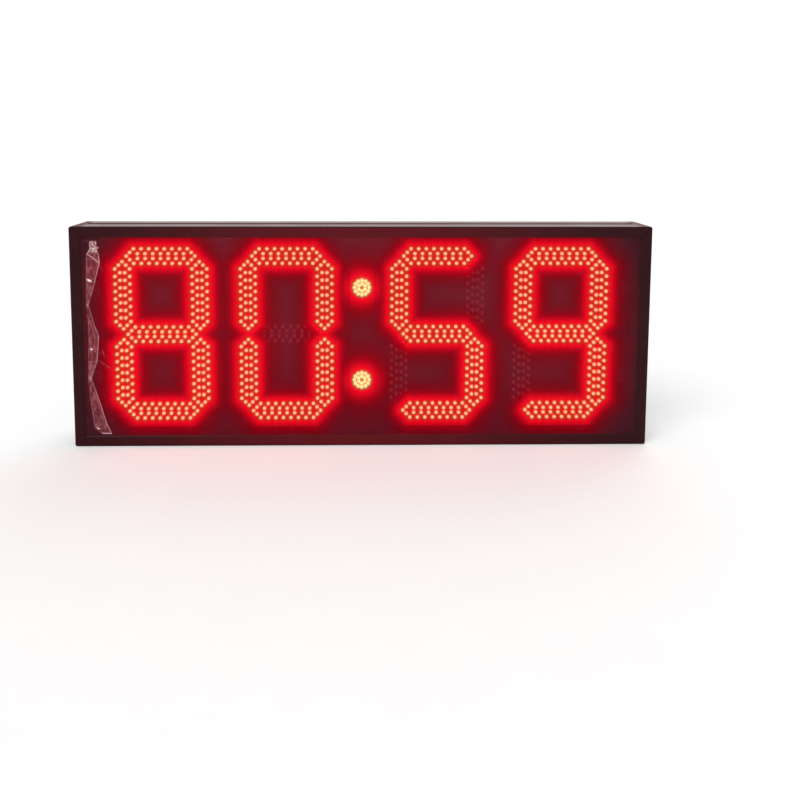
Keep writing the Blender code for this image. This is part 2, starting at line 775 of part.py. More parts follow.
def build_supply(material):
    """Power supply case with a lower terminal shelf at its left end, backed by the panel."""
    half = supply_length / 2
    top = supply_height / 2
    shelf = supply_depth - terminal_step
    profile = [(-half, 0.0), (half, 0.0), (half, -supply_depth),
               (-half + terminal_length, -supply_depth), (-half + terminal_length, -shelf),
               (-half, -shelf)]
    mesh = profile_mesh("power_supply", profile, -top, top,
                        lambda along, across, depth: (across, depth, along))
    shape = bmesh.new()
    shape.from_mesh(mesh)
    bmesh.ops.bevel(shape, geom=list(shape.edges), offset=supply_bevel, segments=1, profile=0.5,
                    affect="EDGES", material=-1)
    mesh = finish_mesh(shape, "power_supply")
    add_piece("power_supply", mesh, material, spot(supply_x, panel_front - seam, supply_z))


def build_control(material):
    """Control board on four posts, its chips and connector facing the front."""
    shape = bmesh.new()
    outline = rectangle(control_length, control_height)
    rim_edges = add_loop(shape, [(x, 0.0, z) for x, z in outline])[1]
    edges = list(rim_edges)
    blocks = [rectangle(chip_length, chip_height, (-chip_length, chip_height)),
              rectangle(chip_height, chip_height, (chip_length, chip_height)),
              rectangle(header_length, header_height, (0.0, supply_drop - link_drop))]
    heights = (chip_depth, chip_depth, header_depth)
    rings = []
    for block in blocks:
        ring, ring_edges = add_loop(shape, [(x, 0.0, z) for x, z in block])
        rings.append(ring)
        edges += ring_edges
    bmesh.ops.triangle_fill(shape, use_beauty=True, use_dissolve=False, edges=edges)
    block_faces = [shape.faces.new(ring) for ring in rings]

    wall = bmesh.ops.extrude_edge_only(shape, edges=rim_edges)
    moved = move_raised(shape, wall, board_thickness)
    edges = [edge for edge in shape.edges if all(v in moved for v in edge.verts)]
    rings = []
    for i, j in ((-1, -1), (1, -1), (1, 1), (-1, 1)):
        centre = (i * (control_length / 2 - post_inset), j * (control_height / 2 - post_inset))
        post = circle(post_radius, post_sides, centre)
        ring, ring_edges = add_loop(shape, [(x, board_thickness, z) for x, z in post])
        rings.append(ring)
        edges += ring_edges
    bmesh.ops.triangle_fill(shape, use_beauty=True, use_dissolve=False, edges=edges)
    post_faces = [shape.faces.new(ring) for ring in rings]
    bmesh.ops.recalc_face_normals(shape, faces=shape.faces)
    raises = [([face], -height) for face, height in zip(block_faces, heights)]
    for faces, height in raises + [(post_faces, post_length)]:
        raise_faces(shape, faces, height)
    add_piece("control_board", finish_mesh(shape, "control_board"), material,
              spot(control_x, control_front, supply_z))


def arched_path(first, last):
    """Path of a cable that arches back from one header to the next, (across, depth)."""
    path = []
    for i in range(ribbon_steps + 1):
        turn = math.pi * i / ribbon_steps
        share = (1 - math.cos(turn)) / 2
        path.append(Vector((first + (last - first) * share,
                            ribbon_rise * math.sin(turn) ** ribbon_roundness)))
    return path


def stepped_path(first, last, depth):
    """Path of a cable that leaves one header and meets another one behind it."""
    path = []
    for i in range(ribbon_steps + 1):
        share = i / ribbon_steps
        eased = share * share * (3 - 2 * share)
        path.append(Vector((first + (last - first) * eased, depth * share)))
    return path


def ribbon_mesh(name, path, last_run):
    """Flat cable, its width upright. It leaves its first header backwards."""
    shape = bmesh.new()
    half = ribbon_width / 2
    rings = []
    for i, place in enumerate(path):
        run = (path[min(i + 1, ribbon_steps)] - path[max(i - 1, 0)]).normalized()
        if i == 0:
            run = Vector((0, 1))
        if i == ribbon_steps:
            run = Vector((0, last_run))
        across = Vector((run.y, -run.x)) * ribbon_thickness / 2
        rings.append([shape.verts.new((*(place + i * across), j * half))
                      for i, j in ((-1, -1), (1, -1), (1, 1), (-1, 1))])
    for first, second in zip(rings, rings[1:]):
        for k in range(4):
            shape.faces.new((first[k - 1], first[k], second[k], second[k - 1]))
    shape.faces.new(rings[0])
    shape.faces.new(rings[-1])
    return finish_mesh(shape, name)


def build_ribbons(material):
    """Flat cables from header to header, and from the third digit to the control board."""
    centres = digit_centres()
    depth = header_back + seam
    # The colon's header takes two cables, one on each half
    landing = header_length / 4
    joins = (
        ("ribbon_digit_1_2", centres[0] + header_reach, centres[1] - header_reach),
        ("ribbon_digit_2_colon", centres[1] + header_reach, -landing),
        ("ribbon_colon_digit_3", landing, centres[2] - header_reach),
        ("ribbon_digit_3_4", centres[2] + header_reach, centres[3] - header_reach),
    )
    for name, first, last in joins:
        mesh = ribbon_mesh(name, arched_path(first, last), -1)
        add_piece(name, mesh, material, spot(0.0, depth, middle_z + header_rise))
    reach = control_front - header_depth - seam - depth
    path = stepped_path(centres[2] + header_reach, control_x, reach)
    mesh = ribbon_mesh("ribbon_digit_3_control", path, 1)
    add_piece("ribbon_digit_3_control", mesh, material, spot(0.0, depth, middle_z - link_drop))


def lead_object(name, start, start_run, points, end_run, end, material):
    """Round lead: straight out of each end for its run, on a smooth curve in between."""
    start = Vector(start)
    end = Vector(end)
    middle = smooth_path([start + Vector(start_run)] + points + [end + Vector(end_run)], lead_steps)
    curve = bpy.data.curves.new(name, "CURVE")
    curve.dimensions = "3D"
    curve.bevel_depth = lead_radius
    curve.bevel_resolution = 1
    curve.use_fill_caps = True
    spline = curve.splines.new("POLY")
    route = [start] + middle + [end]
    spline.points.add(len(route) - 1)
    for point, place in zip(spline.points, route):
        point.co = (*place, 1.0)
    lead = bpy.data.objects.new(name, curve)
    bpy.context.scene.collection.objects.link(lead)
    lead.data.materials.append(material)
    return lead


def smooth_path(points, steps):
    """Catmull-Rom curve through the points."""
    knots = [Vector(point) for point in points]
    ends = [2 * knots[0] - knots[1]] + knots + [2 * knots[-1] - knots[-2]]
    path = []
    for a, b, c, d in zip(ends, ends[1:], ends[2:], ends[3:]):
        for i in range(steps):
            t = i / steps
            path.append(0.5 * (2 * b + (c - a) * t + (2 * a - 5 * b + 4 * c - d) * t * t
                               + (3 * b - a - 3 * c + d) * t * t * t))
    return path + [knots[-1]]


def build_leads(material):
    """Mains lead from inlet to switch, from switch to supply, and the supply's low-voltage lead."""
    inlet_end = body_depth - inlet_body_depth - seam
    switch_end = body_depth - switch_body_depth - seam
    forward = (0.0, -lead_run, 0.0)
    pole = switch_body_height / 4
    lane = board_back + lead_radius + lead_room
    lead_object("lead_inlet_switch", spot(inlet_x, inlet_end, mains_height), forward,
                [spot((inlet_x + switch_x) / 2, lane, mains_height - pole)],
                forward, spot(switch_x, switch_end, mains_height - pole), material)
    shelf = panel_front - seam - (supply_depth - terminal_step) - seam
    lane = carrier_back + lead_radius + lead_room
    terminal_x = supply_x - supply_length / 2 + terminal_length / 2
    terminal_z = supply_z - supply_height / 4
    carrier_z = middle_z - carrier_offset
    lead_object("lead_switch_supply", spot(switch_x, switch_end, mains_height + pole), forward,
                [spot((switch_x + terminal_x) / 2, lane, carrier_z)],
                forward, spot(terminal_x, shelf, terminal_z), material)
    side = supply_x + supply_length / 2 + seam
    control_edge = control_x - control_length / 2 - seam
    level = control_front + board_thickness / 2
    lead_object("lead_supply_control", spot(side, level, supply_z), (lead_run, 0.0, 0.0),
                [spot((side + control_edge) / 2, level, supply_z - lead_sag)],
                (-lead_run, 0.0, 0.0), spot(control_edge, level, supply_z), material)


def clear_scene():
    """Start from an empty scene."""
    for item in list(bpy.data.objects):
        bpy.data.objects.remove(item)


def main():
    """Build every piece of the scoreboard."""
    clear_scene()
    anodised = make_material("black_anodised_aluminium", (0.030, 0.018, 0.020), 0.38, 0.6)
    moulded = make_material("black_moulded_nylon", (0.020, 0.013, 0.014), 0.5)
    acrylic = make_material("smoked_red_acrylic", (0.120, 0.012, 0.016), 0.08, 0.0, 0.35)
    film = make_material("clear_protective_film", (0.350, 0.160, 0.170), 0.2, 0.0, 0.5)
    lamps = make_material("lamp_board", (0.900, 0.060, 0.020), 0.4, 0.0, 1.0, 0.6)
    epoxy = make_material("receiver_epoxy", (0.020, 0.010, 0.020), 0.15)
    mill = make_material("mill_aluminium", (0.560, 0.560, 0.570), 0.35, 1.0)
    painted = make_material("black_painted_steel", (0.022, 0.020, 0.021), 0.55, 0.2)
    zinc = make_material("zinc_plated_steel", (0.620, 0.610, 0.580), 0.3, 1.0)
    galvanised = make_material("galvanised_steel", (0.500, 0.510, 0.520), 0.42, 0.9)
    laminate = make_material("green_circuit_board", (0.020, 0.120, 0.050), 0.45)
    ribbon = make_material("grey_ribbon_cable", (0.450, 0.450, 0.460), 0.5)
    sheath = make_material("black_sheath", (0.015, 0.015, 0.016), 0.5)
    rocker = make_material("red_rocker", (0.500, 0.012, 0.012), 0.3)

    build_frame(anodised)
    build_corners(moulded)
    build_window(acrylic)
    build_film(film)
    build_boards(lamps)
    build_receiver(epoxy)
    build_carriers(mill)
    build_panel(painted)
    build_screws(zinc)
    build_ears(zinc, zinc)
    build_inlet(moulded)
    build_switch(moulded, rocker)
    build_supply(galvanised)
    build_control(laminate)
    build_ribbons(ribbon)
    build_leads(sheath)


main()
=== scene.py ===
"""Dress the solids of a four-digit lamp scoreboard for a studio picture."""
import math

import bmesh
import bpy
from bpy.props import FloatProperty, FloatVectorProperty, PointerProperty, StringProperty
from mathutils import Matrix, Vector, noise
from mathutils.kdtree import KDTree


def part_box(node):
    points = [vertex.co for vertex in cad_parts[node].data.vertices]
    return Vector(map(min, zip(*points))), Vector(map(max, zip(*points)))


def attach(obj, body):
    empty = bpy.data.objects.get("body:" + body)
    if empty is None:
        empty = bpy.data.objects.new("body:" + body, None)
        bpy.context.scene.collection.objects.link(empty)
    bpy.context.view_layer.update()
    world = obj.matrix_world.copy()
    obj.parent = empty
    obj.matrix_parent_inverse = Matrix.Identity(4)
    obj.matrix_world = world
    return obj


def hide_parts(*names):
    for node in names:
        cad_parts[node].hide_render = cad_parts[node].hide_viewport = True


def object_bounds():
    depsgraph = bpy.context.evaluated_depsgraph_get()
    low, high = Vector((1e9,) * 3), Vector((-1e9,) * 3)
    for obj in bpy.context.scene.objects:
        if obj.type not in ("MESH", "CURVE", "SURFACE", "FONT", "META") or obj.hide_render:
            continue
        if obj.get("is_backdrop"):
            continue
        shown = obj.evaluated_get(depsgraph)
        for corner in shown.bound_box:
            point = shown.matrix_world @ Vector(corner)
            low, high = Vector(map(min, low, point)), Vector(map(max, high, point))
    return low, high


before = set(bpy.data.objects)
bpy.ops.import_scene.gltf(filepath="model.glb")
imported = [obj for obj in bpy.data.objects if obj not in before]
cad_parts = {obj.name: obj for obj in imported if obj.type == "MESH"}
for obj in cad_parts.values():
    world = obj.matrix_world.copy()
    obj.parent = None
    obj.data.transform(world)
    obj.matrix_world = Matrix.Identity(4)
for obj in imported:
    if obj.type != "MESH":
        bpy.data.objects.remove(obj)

bl_info = {
    "name": "Lamp scoreboard",
    "version": (1, 0, 0),
    "blender": (4, 5, 0),
    "location": "3D View > Sidebar > Scoreboard",
    "description": "Lamps, window, frame, back and studio of a four-digit lamp scoreboard",
    "category": "Object",
}

CAD_BOX = [list(corner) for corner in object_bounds()]
MM = 0.001
WHITE = (1.0, 1.0, 1.0, 1.0)
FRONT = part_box("frame_top_rail")[0].y
BOARDS = ("digit_1_board", "digit_2_board", "digit_3_board", "digit_4_board", "colon_board")
LAMP_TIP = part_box("colon_board")[0].y
# Where a viewer's eye is: over the middle, in front and above
VIEWER = Vector((-0.00891, FRONT - 0.83926, 0.35384))

# Rows of the film from the top down: height over the floor, then its left and right edge from
# the frame's left side, all in mm
FILM_ROWS = (
    (238.6, 22.8, 30.2), (231.0, 23.2, 32.0), (226.0, 20.6, 31.6), (223.5, 19.0, 33.2),
    (214.0, 18.6, 33.9), (190.0, 18.0, 27.4),
    (165.5, 17.6, 19.9), (140.0, 19.0, 26.6), (130.0, 19.2, 30.7), (101.0, 18.0, 28.1),
    (80.0, 17.4, 20.9), (58.0, 18.6, 28.0), (44.0, 20.0, 32.0), (26.0, 22.3, 37.4),
    (19.5, 24.6, 40.2), (14.6, 32.0, 42.6),
)
# Heights at which the film twists, and from which it is torn to threads upwards, mm
FILM_TWISTS, FILM_TORN = (165.5, 80.0), 222.0
# Stray threads torn from the film: both ends, across and height, mm
FILM_THREADS = (
    (28.6, 101.5, 42.2, 91.8), (32.2, 213.0, 37.2, 203.6), (33.4, 114.0, 36.8, 104.5),
    (30.8, 108.5, 34.4, 110.5), (41.5, 29.5, 45.5, 30.8), (16.8, 238.8, 22.6, 237.4),
)
# Painted glints, on facets of the film that would mirror the light: place across, height,
# half length, half width, mm
FILM_GLINTS = ((21.5, 193.5, 3.2, 1.2), (21.8, 114.0, 1.6, 0.9), (27.0, 21.0, 2.2, 0.6))

# Segments that each figure lights: a on top, then clockwise to f, and g across the middle
FIGURES = {
    "0": "abcdef", "1": "bc", "2": "abdeg", "3": "abcdg", "4": "bcfg", "5": "acdfg",
    "6": "acdefg", "7": "abc", "8": "abcdefg", "9": "abcdfg",
}
# The pure red glow beyond the lamps falls off: share of its reach and share of its strength
FALL = ((0.115, 0.84), (0.150, 0.74), (0.200, 0.46), (0.260, 0.23), (0.320, 0.09))
FALL_END = 0.400


def linear(code):
    """Linear red, green and blue of an sRGB hex code."""
    parts = [int(code[i:i + 2], 16) / 255 for i in (0, 2, 4)]
    return tuple(c / 12.92 if c <= 0.04045 else ((c + 0.055) / 1.055) ** 2.4 for c in parts)


def tint(label, use, code):
    """Colour property that starts from an sRGB hex code."""
    return FloatVectorProperty(name=label, description=use, subtype="COLOR", size=3,
                               min=0.0, max=1.0, default=linear(code))


def length(label, use, size):
    """Length property, in metres."""
    return FloatProperty(name=label, description=use, default=size, unit="LENGTH", precision=5)


class ScoreboardLamps(bpy.types.PropertyGroup):
    """The lamps and the lattice that they stand in."""

    reading: StringProperty(name="Reading", description="The four lit figures", default="8059")
    radius: length("Radius", "Radius of a round lamp", 2.0 * MM)
    height: length("Height", "Lamp height over its board", 6.0 * MM)
    row_pitch: length("Row pitch", "From lamp to lamp along a row", 8.806 * MM)
    outer_row: length("Outer row", "From a segment's middle to its outer rows", 8.5 * MM)
    inner_row: length("Inner row", "From a segment's middle to its inner rows", 2.8 * MM)
    shoulder: length("Shoulder", "Half the spacing of the two shoulder lamps", 4.2 * MM)
    tip_step: length("Tip step", "From the shoulder lamps to the tip lamp", 4.0 * MM)
    segment_rise: length("Segment rise", "From the middle segment to the top one", 91.45 * MM)
    segment_side: length("Segment side", "From the digit's middle to its uprights", 44.225 * MM)
    colon_rise: length("Colon rise", "From the middle to a colon cluster", 54.7 * MM)
    colon_inner: length("Colon inner ring", "Radius of the colon's inner ring", 4.15 * MM)
    colon_outer: length("Colon outer ring", "Radius of the colon's outer ring", 8.5 * MM)


class ScoreboardSizes(bpy.types.PropertyGroup):
    """Sizes of the fittings and of the details that the solids leave out."""

    glow_cell: length("Glow cell", "Spacing of the points that hold the boards' glow", 1.5 * MM)
    haze_cell: length("Haze cell", "Spacing of the points that hold the window's haze", 3 * MM)
    glow_reach: length("Glow reach", "How far from a lit lamp its glow fades", 45.0 * MM)
    haze_reach: length("Haze reach", "How far off many lamps add up to a haze", 100.0 * MM)
    edge: length("Edge", "Rounding of moulded edges", 0.5 * MM)
    film_thickness: length("Film thickness", "Thickness of the film", 0.05 * MM)
    film_crease: length("Film crease", "Height of the creases in the film", 0.6 * MM)
    film_facet: length("Film facet", "Size of the flat patches between creases", 7.0 * MM)
    recess_width: length("Recess width", "Width of a screw's cross recess", 0.9 * MM)


class ScoreboardColours(bpy.types.PropertyGroup):
    """Colours of the finishes, as seen in plain light."""

    anodised: tint("Anodised frame", "Black anodised rails and their corners", "1B1216")
    nylon: tint("Nylon", "Moulded inlet and switch", "19181A")
    window_share: FloatProperty(name="Window share", min=0.0, max=1.0, default=0.38,
                                description="Light that passes each face of the window")
    window: tint("Window", "Smoked red window", "350212")
    # The film's pink is the lamps' red light, painted into the colour of a clear film
    film: tint("Film", "Creased protective film", "D9707C")
    lamp_heart: tint("Lamp heart", "Crown of a lit lamp", "FFB48C")
    lamp_rim: tint("Lamp rim", "Side of a lit lamp", "FA7350")
    colon_heart: tint("Colon heart", "Crown of a lamp in the colon", "FFDA98")
    colon_rim: tint("Colon rim", "Side of a lamp in the colon", "F5B070")
    halo: tint("Halo", "Glow beyond the lit lamps", "E9031A")
    lamp_dark: tint("Dark lamp", "Lens of an unlit lamp", "7A2A34")
    panel: tint("Back panel", "Powder-coated back", "1D1B1C")
    rocker: tint("Rocker", "Rocker of the mains switch", "B3141A")
    floor: tint("Floor", "Studio floor", "F2F2F2")


def lamps_of(context):
    """Lamp settings of the scene."""
    return context.scene.scoreboard_lamps


def sizes_of(context):
    """Fitting sizes of the scene."""
    return context.scene.scoreboard_sizes


def colours_of(context):
    """Colours of the scene."""
    return context.scene.scoreboard_colours


def fill(node, sockets):
    """Fill a node's sockets, by name or else in order.

    A value is set. A socket, or else the first result of a node, is linked.
    """
    pairs = sockets.items() if isinstance(sockets, dict) else enumerate(sockets)
    for name, value in pairs:
        if isinstance(value, bpy.types.Node):
            value = next(socket for socket in value.outputs if socket.enabled)
        if isinstance(value, bpy.types.NodeSocket):
            node.id_data.links.new(value, node.inputs[name])
        else:
            node.inputs[name].default_value = value


def add_node(tree, kind, sockets=(), stops=(), **settings):
    """Add a shader node with its settings, what its sockets hold, and its ramp's stops."""
    node = tree.nodes.new("ShaderNode" + kind)
    for name, value in settings.items():
        setattr(node, name, value)
    fill(node, sockets)
    if stops:
        ramp = node.color_ramp.elements
        ramp[0].position = stops[0][0]
        ramp[-1].position = stops[-1][0]
        for place, _ in stops[1:-1]:
            ramp.new(place)
        for element, (_, colour) in zip(ramp, stops):
            element.color = (*colour, 1.0)
    return node


def scaled(colour, share):
    """Colour made darker or paler by a share."""
    return tuple(min(1.0, channel * share) for channel in colour)


def new_material(name, sockets):
    """Principled material with its sockets filled, its tree and its shader."""
    material = bpy.data.materials.new(name)
    material.use_nodes = True
    tree = material.node_tree
    shader = tree.nodes["Principled BSDF"]
    fill(shader, sockets)
    return material, tree, shader


def parts_of(tree):
    """Place on the object, and its X, Y and Z by name."""
    place = add_node(tree, "TexCoord").outputs["Object"]
    return place, add_node(tree, "SeparateXYZ", (place,)).outputs


def seen_straight(tree):
    """1 for rays from the camera, off a gloss or through a glass, and 0 for the rest."""
    rays = add_node(tree, "LightPath").outputs
    seen = rays["Is Camera Ray"]
    for kind in ("Is Glossy Ray", "Is Transmission Ray"):
        seen = add_node(tree, "Math", (seen, rays[kind]), operation="MAXIMUM")
    return seen


def grained(name, dark, pale, grain, gloss, relief=0.0, draw=(1.0, 1.0, 1.0), sockets=(),
            edge=0.4 * MM):
    """Finish whose colour, roughness and relief follow a grain of a real size.

    The grain runs from the dark to the pale colour and over the two roughnesses of gloss. Draw
    makes it longer along an axis, as on extruded or rolled metal. Edges are rounded over the
    edge size and made a little paler: in part wear, in part a painted highlight along them.
    """
    material, tree, shader = new_material(name, sockets)
    place = add_node(tree, "TexCoord").outputs["Object"]
    spread = add_node(tree, "Mapping", {
        "Vector": place, "Scale": [1.0 / (grain * share) for share in draw]})
    fine = add_node(tree, "TexNoise", {
        "Vector": spread, "Scale": 1.0, "Detail": 3.0, "Roughness": 0.6})
    # Handling marks about 40 mm across
    broad = add_node(tree, "TexNoise", {
        "Vector": place, "Scale": 1.0 / (40 * MM), "Detail": 3.0})
    both = add_node(tree, "Mix", {"Factor": 0.4, "A": fine, "B": broad})
    # Nearly all values of the two noises lie between these
    least, most = 0.36, 0.64
    colour = add_node(tree, "ValToRGB", {"Fac": both}, [(least, dark), (most, pale)])
    rough = add_node(tree, "MapRange", {
        "Value": both, "From Min": least, "From Max": most, "To Min": gloss[0],
        "To Max": gloss[1]})
    # Where the rounded normal leaves the flat one the edge is paler: worn by hands and cloths,
    # and also a painted highlight
    rounding = add_node(tree, "Bevel", {"Radius": edge}, samples=4)
    flat = add_node(tree, "NewGeometry").outputs["Normal"]
    turn = add_node(tree, "VectorMath", (rounding, flat), operation="DOT_PRODUCT")
    edge_wear_and_highlight = add_node(tree, "MapRange", {
        "Value": turn, "From Min": 0.98, "From Max": 0.75, "To Max": 0.5})
    patchy_wear_and_highlight = add_node(tree, "Math", (edge_wear_and_highlight, broad), operation="MULTIPLY")
    rubbed_and_highlit = add_node(tree, "Mix", {
        "Factor": patchy_wear_and_highlight, "A": colour, "B": (*scaled(pale, 2.2), 1.0)}, data_type="RGBA")
    bump = add_node(tree, "Bump", {
        "Height": fine, "Distance": relief, "Normal": rounding})
    fill(shader, {"Roughness": rough, "Base Color": rubbed_and_highlit, "Normal": bump})
    return material


def redden(material):
    """Let the figures' red light fall on a rail or corner: most at mid width, on its front."""
    tree = material.node_tree
    middle = CAD_BOX[1][2] / 2
    place = add_node(tree, "TexCoord").outputs["Object"]
    # The brightest place is on the front, 12 mm left of the middle
    off = add_node(tree, "VectorMath", (place, (-12 * MM, FRONT, middle)), operation="SUBTRACT")
    off = add_node(tree, "VectorMath", (off,), operation="ABSOLUTE")
    off = add_node(tree, "SeparateXYZ", (off,)).outputs
    spill = 1.0
    for axis, start, end, first, last, fall in (
            ("X", 350 * MM, 0.0, 0.017, 0.094, "SMOOTHSTEP"),
            ("Y", 0.6 * MM, 3 * MM, 1.0, 0.15, "LINEAR"),
            # The rounded outer edge turns away from the figures, as a dark line
            ("Z", middle - 1.6 * MM, middle - 0.9 * MM, 1.0, 0.12, "LINEAR")):
        share = add_node(tree, "MapRange", {
            "Value": off[axis], "From Min": start, "From Max": end, "To Min": first,
            "To Max": last}, interpolation_type=fall)
        spill = add_node(tree, "Math", (spill, share), operation="MULTIPLY")
    fill(tree.nodes["Principled BSDF"], {
        "Emission Color": (*linear("FF2436"), 1.0), "Emission Strength": spill})


def shade_grooves(material, reach):
    """Paint shade into a material's grooves: the closer their walls, the darker."""
    tree = material.node_tree
    shader = tree.nodes["Principled BSDF"]
    base = shader.inputs["Base Color"].links[0].from_socket
    depth = add_node(tree, "AmbientOcclusion", {"Distance": reach}, samples=8)
    open_air = add_node(tree, "MapRange", {
        "Value": depth.outputs["AO"], "From Min": 0.45, "From Max": 0.85})
    painted_groove_shade = add_node(tree, "Mix", {
        "Factor": open_air, "A": (0.002, 0.001, 0.001, 1.0), "B": base}, data_type="RGBA")
    fill(shader, {"Base Color": painted_groove_shade})


def dress(start, material):
    """Give the solids whose names start so their finish."""
    for name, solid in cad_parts.items():
        if name.startswith(start):
            for holder in solid.material_slots:
                holder.material = material


def mesh_of(name, shape):
    """Mesh with the form of a shape, which is freed."""
    mesh = bpy.data.meshes.new(name)
    shape.to_mesh(mesh)
    shape.free()
    return mesh


def add_object(name, data):
    """Add an object to the scene that holds a mesh, a light or a camera."""
    item = bpy.data.objects.new(name, data)
    bpy.context.scene.collection.objects.link(item)
    return item


def add_piece(name, shape, material, stands_for=(), body="display", crease=30.0):
    """Make a piece of a closed mesh: it rides on a body and stands for some solids."""
    bmesh.ops.remove_doubles(shape, verts=shape.verts, dist=0.001 * MM)
    bmesh.ops.recalc_face_normals(shape, faces=shape.faces)
    mesh = mesh_of(name, shape)
    mesh.materials.append(material)
    mesh.shade_smooth()
    mesh.set_sharp_from_angle(angle=math.radians(crease))
    piece = add_object(name, mesh)
    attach(piece, body)
    if stands_for:
        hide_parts(*stands_for)


def middle_of(name):
    """Middle of a solid's box."""
    low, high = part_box(name)
    return (low + high) / 2


def add_slab(shape, low, high, corner, edge=0.0):
    """Add a box: its four corners, as seen from the front, are rounded, and then their rims."""
    low, high = Vector(low), Vector(high)
    verts = bmesh.ops.create_cube(
        shape, size=1.0, matrix=Matrix.LocRotScale((low + high) / 2, None, high - low))["verts"]
    level = 0.01 * MM
    back_edges = [e for e in shape.edges if e.verts[0] in verts
                  and abs(e.verts[0].co.y - e.verts[1].co.y) > level]
    rounded = bmesh.ops.bevel(shape, geom=back_edges, offset=corner, segments=5, profile=0.5,
                              affect="EDGES", material=-1)["faces"]
    if edge:
        rims = [e for e in shape.edges if any(face in rounded for face in e.link_faces)
                and abs(e.verts[0].co.y - e.verts[1].co.y) < level]
        bmesh.ops.bevel(shape, geom=rims, offset=edge, segments=3, profile=0.5,
                        affect="EDGES", material=-1)
    return shape


def carve(base, tool, operation="DIFFERENCE"):
    """Cut one closed mesh with another, or join them."""
    helpers = []
    for shape in (base, tool):
        bmesh.ops.recalc_face_normals(shape, faces=shape.faces)
        helpers.append(add_object("carving", mesh_of("carving", shape)))
    step = helpers[0].modifiers.new("carve", "BOOLEAN")
    step.operation = operation
    step.solver = "EXACT"
    step.object = helpers[1]
    bpy.context.view_layer.update()
    result = bmesh.new()
    result.from_object(helpers[0], bpy.context.evaluated_depsgraph_get())
    for helper in helpers:
        bpy.data.objects.remove(helper)
    return result


def turned(outline, sides):
    """Turn an outline of (radius, depth) points round the depth axis."""
    shape = bmesh.new()
    verts = [shape.verts.new((radius, depth, 0.0)) for radius, depth in outline]
    edges = [shape.edges.new(pair) for pair in zip(verts, verts[1:])]
    bmesh.ops.spin(shape, geom=verts + edges, cent=(0, 0, 0), axis=(0, 1, 0), dvec=(0, 0, 0),
                   angle=2 * math.pi, steps=sides, use_merge=True, use_duplicate=False)
    bmesh.ops.remove_doubles(shape, verts=shape.verts, dist=0.001 * MM)
    bmesh.ops.recalc_face_normals(shape, faces=shape.faces)
    return shape


def place_copies(template, places):
    """One mesh with a copy of the template at every place."""
    shape = bmesh.new()
    mesh = mesh_of("copies", template)
    for place in places:
        copy = mesh.copy()
        copy.transform(Matrix.Translation(place))
        shape.from_mesh(copy)
        bpy.data.meshes.remove(copy)
    bpy.data.meshes.remove(mesh)
    return shape


def gridded_slab(low, high, cell):
    """Closed slab whose front is a fine grid that can hold a glow."""
    shape = bmesh.new()
    middle, size = (low + high) / 2, high - low
    stand = Matrix.LocRotScale((middle.x, low.y, middle.z), Matrix.Rotation(
        math.pi / 2, 3, "X"), (size.x, size.z, 1.0))
    bmesh.ops.create_grid(shape, x_segments=round(size.x / cell),
                          y_segments=round(size.z / cell), size=0.5, matrix=stand)
    rim = [edge for edge in shape.edges if edge.is_boundary]
    wall = bmesh.ops.extrude_edge_only(shape, edges=rim)["geom"]
    moved = {item for item in wall if isinstance(item, bmesh.types.BMVert)}
    bmesh.ops.translate(shape, verts=list(moved), vec=(0.0, size.y, 0.0))
    back = [edge for edge in shape.edges if all(vert in moved for vert in edge.verts)]
    bmesh.ops.contextual_create(shape, geom=back)
    return shape


def segment_places(lamps):
    """Lamps of one segment, (along, across) from its middle."""
    places = []
    for count, offset in ((8, lamps.outer_row), (7, lamps.inner_row)):
        for i in range(count):
            along = (i - (count - 1) / 2) * lamps.row_pitch
            places += [(along, offset), (along, -offset)]
    reach = 4 * lamps.row_pitch
    for end in (-1, 1):
        places += [(end * reach, lamps.shoulder), (end * reach, -lamps.shoulder)]
        places.append((end * (reach + lamps.tip_step), 0.0))
    return places


def figure_places(lamps, figure):
    """Lit and dark lamps of a digit, (across, height) from its middle."""
    rise, side = lamps.segment_rise, lamps.segment_side
    level = {"a": rise, "g": 0.0, "d": -rise}
    upright = {"f": (-side, rise / 2), "e": (-side, -rise / 2),
               "b": (side, rise / 2), "c": (side, -rise / 2)}
    lit, dark = [], []
    for letter in "abcdefg":
        group = lit if letter in FIGURES[figure] else dark
        for along, across in segment_places(lamps):
            if letter in level:
                group.append((along, level[letter] + across))
            else:
                x, z = upright[letter]
                group.append((x + across, z + along))
    return lit, dark


def colon_places(lamps):
    """Lamps of the colon's two clusters, all lit."""
    places = []
    for rise in (-lamps.colon_rise, lamps.colon_rise):
        for radius, count, start in ((lamps.colon_inner, 6, 0.5), (lamps.colon_outer, 12, 0.0)):
            for i in range(count):
                turn = 2 * math.pi * (i + start) / count
                places.append((radius * math.cos(turn), rise + radius * math.sin(turn)))
    return places


def board_lamps(context):
    """For every board: its name, its lit lamps and its dark lamps in world (across, height)."""
    lamps = lamps_of(context)
    groups = [figure_places(lamps, figure) for figure in lamps.reading]
    groups.append((colon_places(lamps), []))
    found = []
    for name, group in zip(BOARDS, groups):
        centre = middle_of(name)
        found.append((name, *([(centre.x + x, centre.z + z) for x, z in places]
                              for places in group)))
    return found


def lamp_tree(places):
    """Tree of lamps by their place."""
    tree = KDTree(len(places))
    for index, (x, z) in enumerate(places):
        tree.insert((x, 0.0, z), index)
    tree.balance()
    return tree


def lamp_trees(groups):
    """Trees of the lit lamps: the figures', the colon's, and every fourth of them all."""
    figures = [place for name, lit, _ in groups if name != "colon_board" for place in lit]
    colon = [place for name, lit, _ in groups if name == "colon_board" for place in lit]
    return lamp_tree(figures), lamp_tree(colon), lamp_tree((figures + colon)[::4])


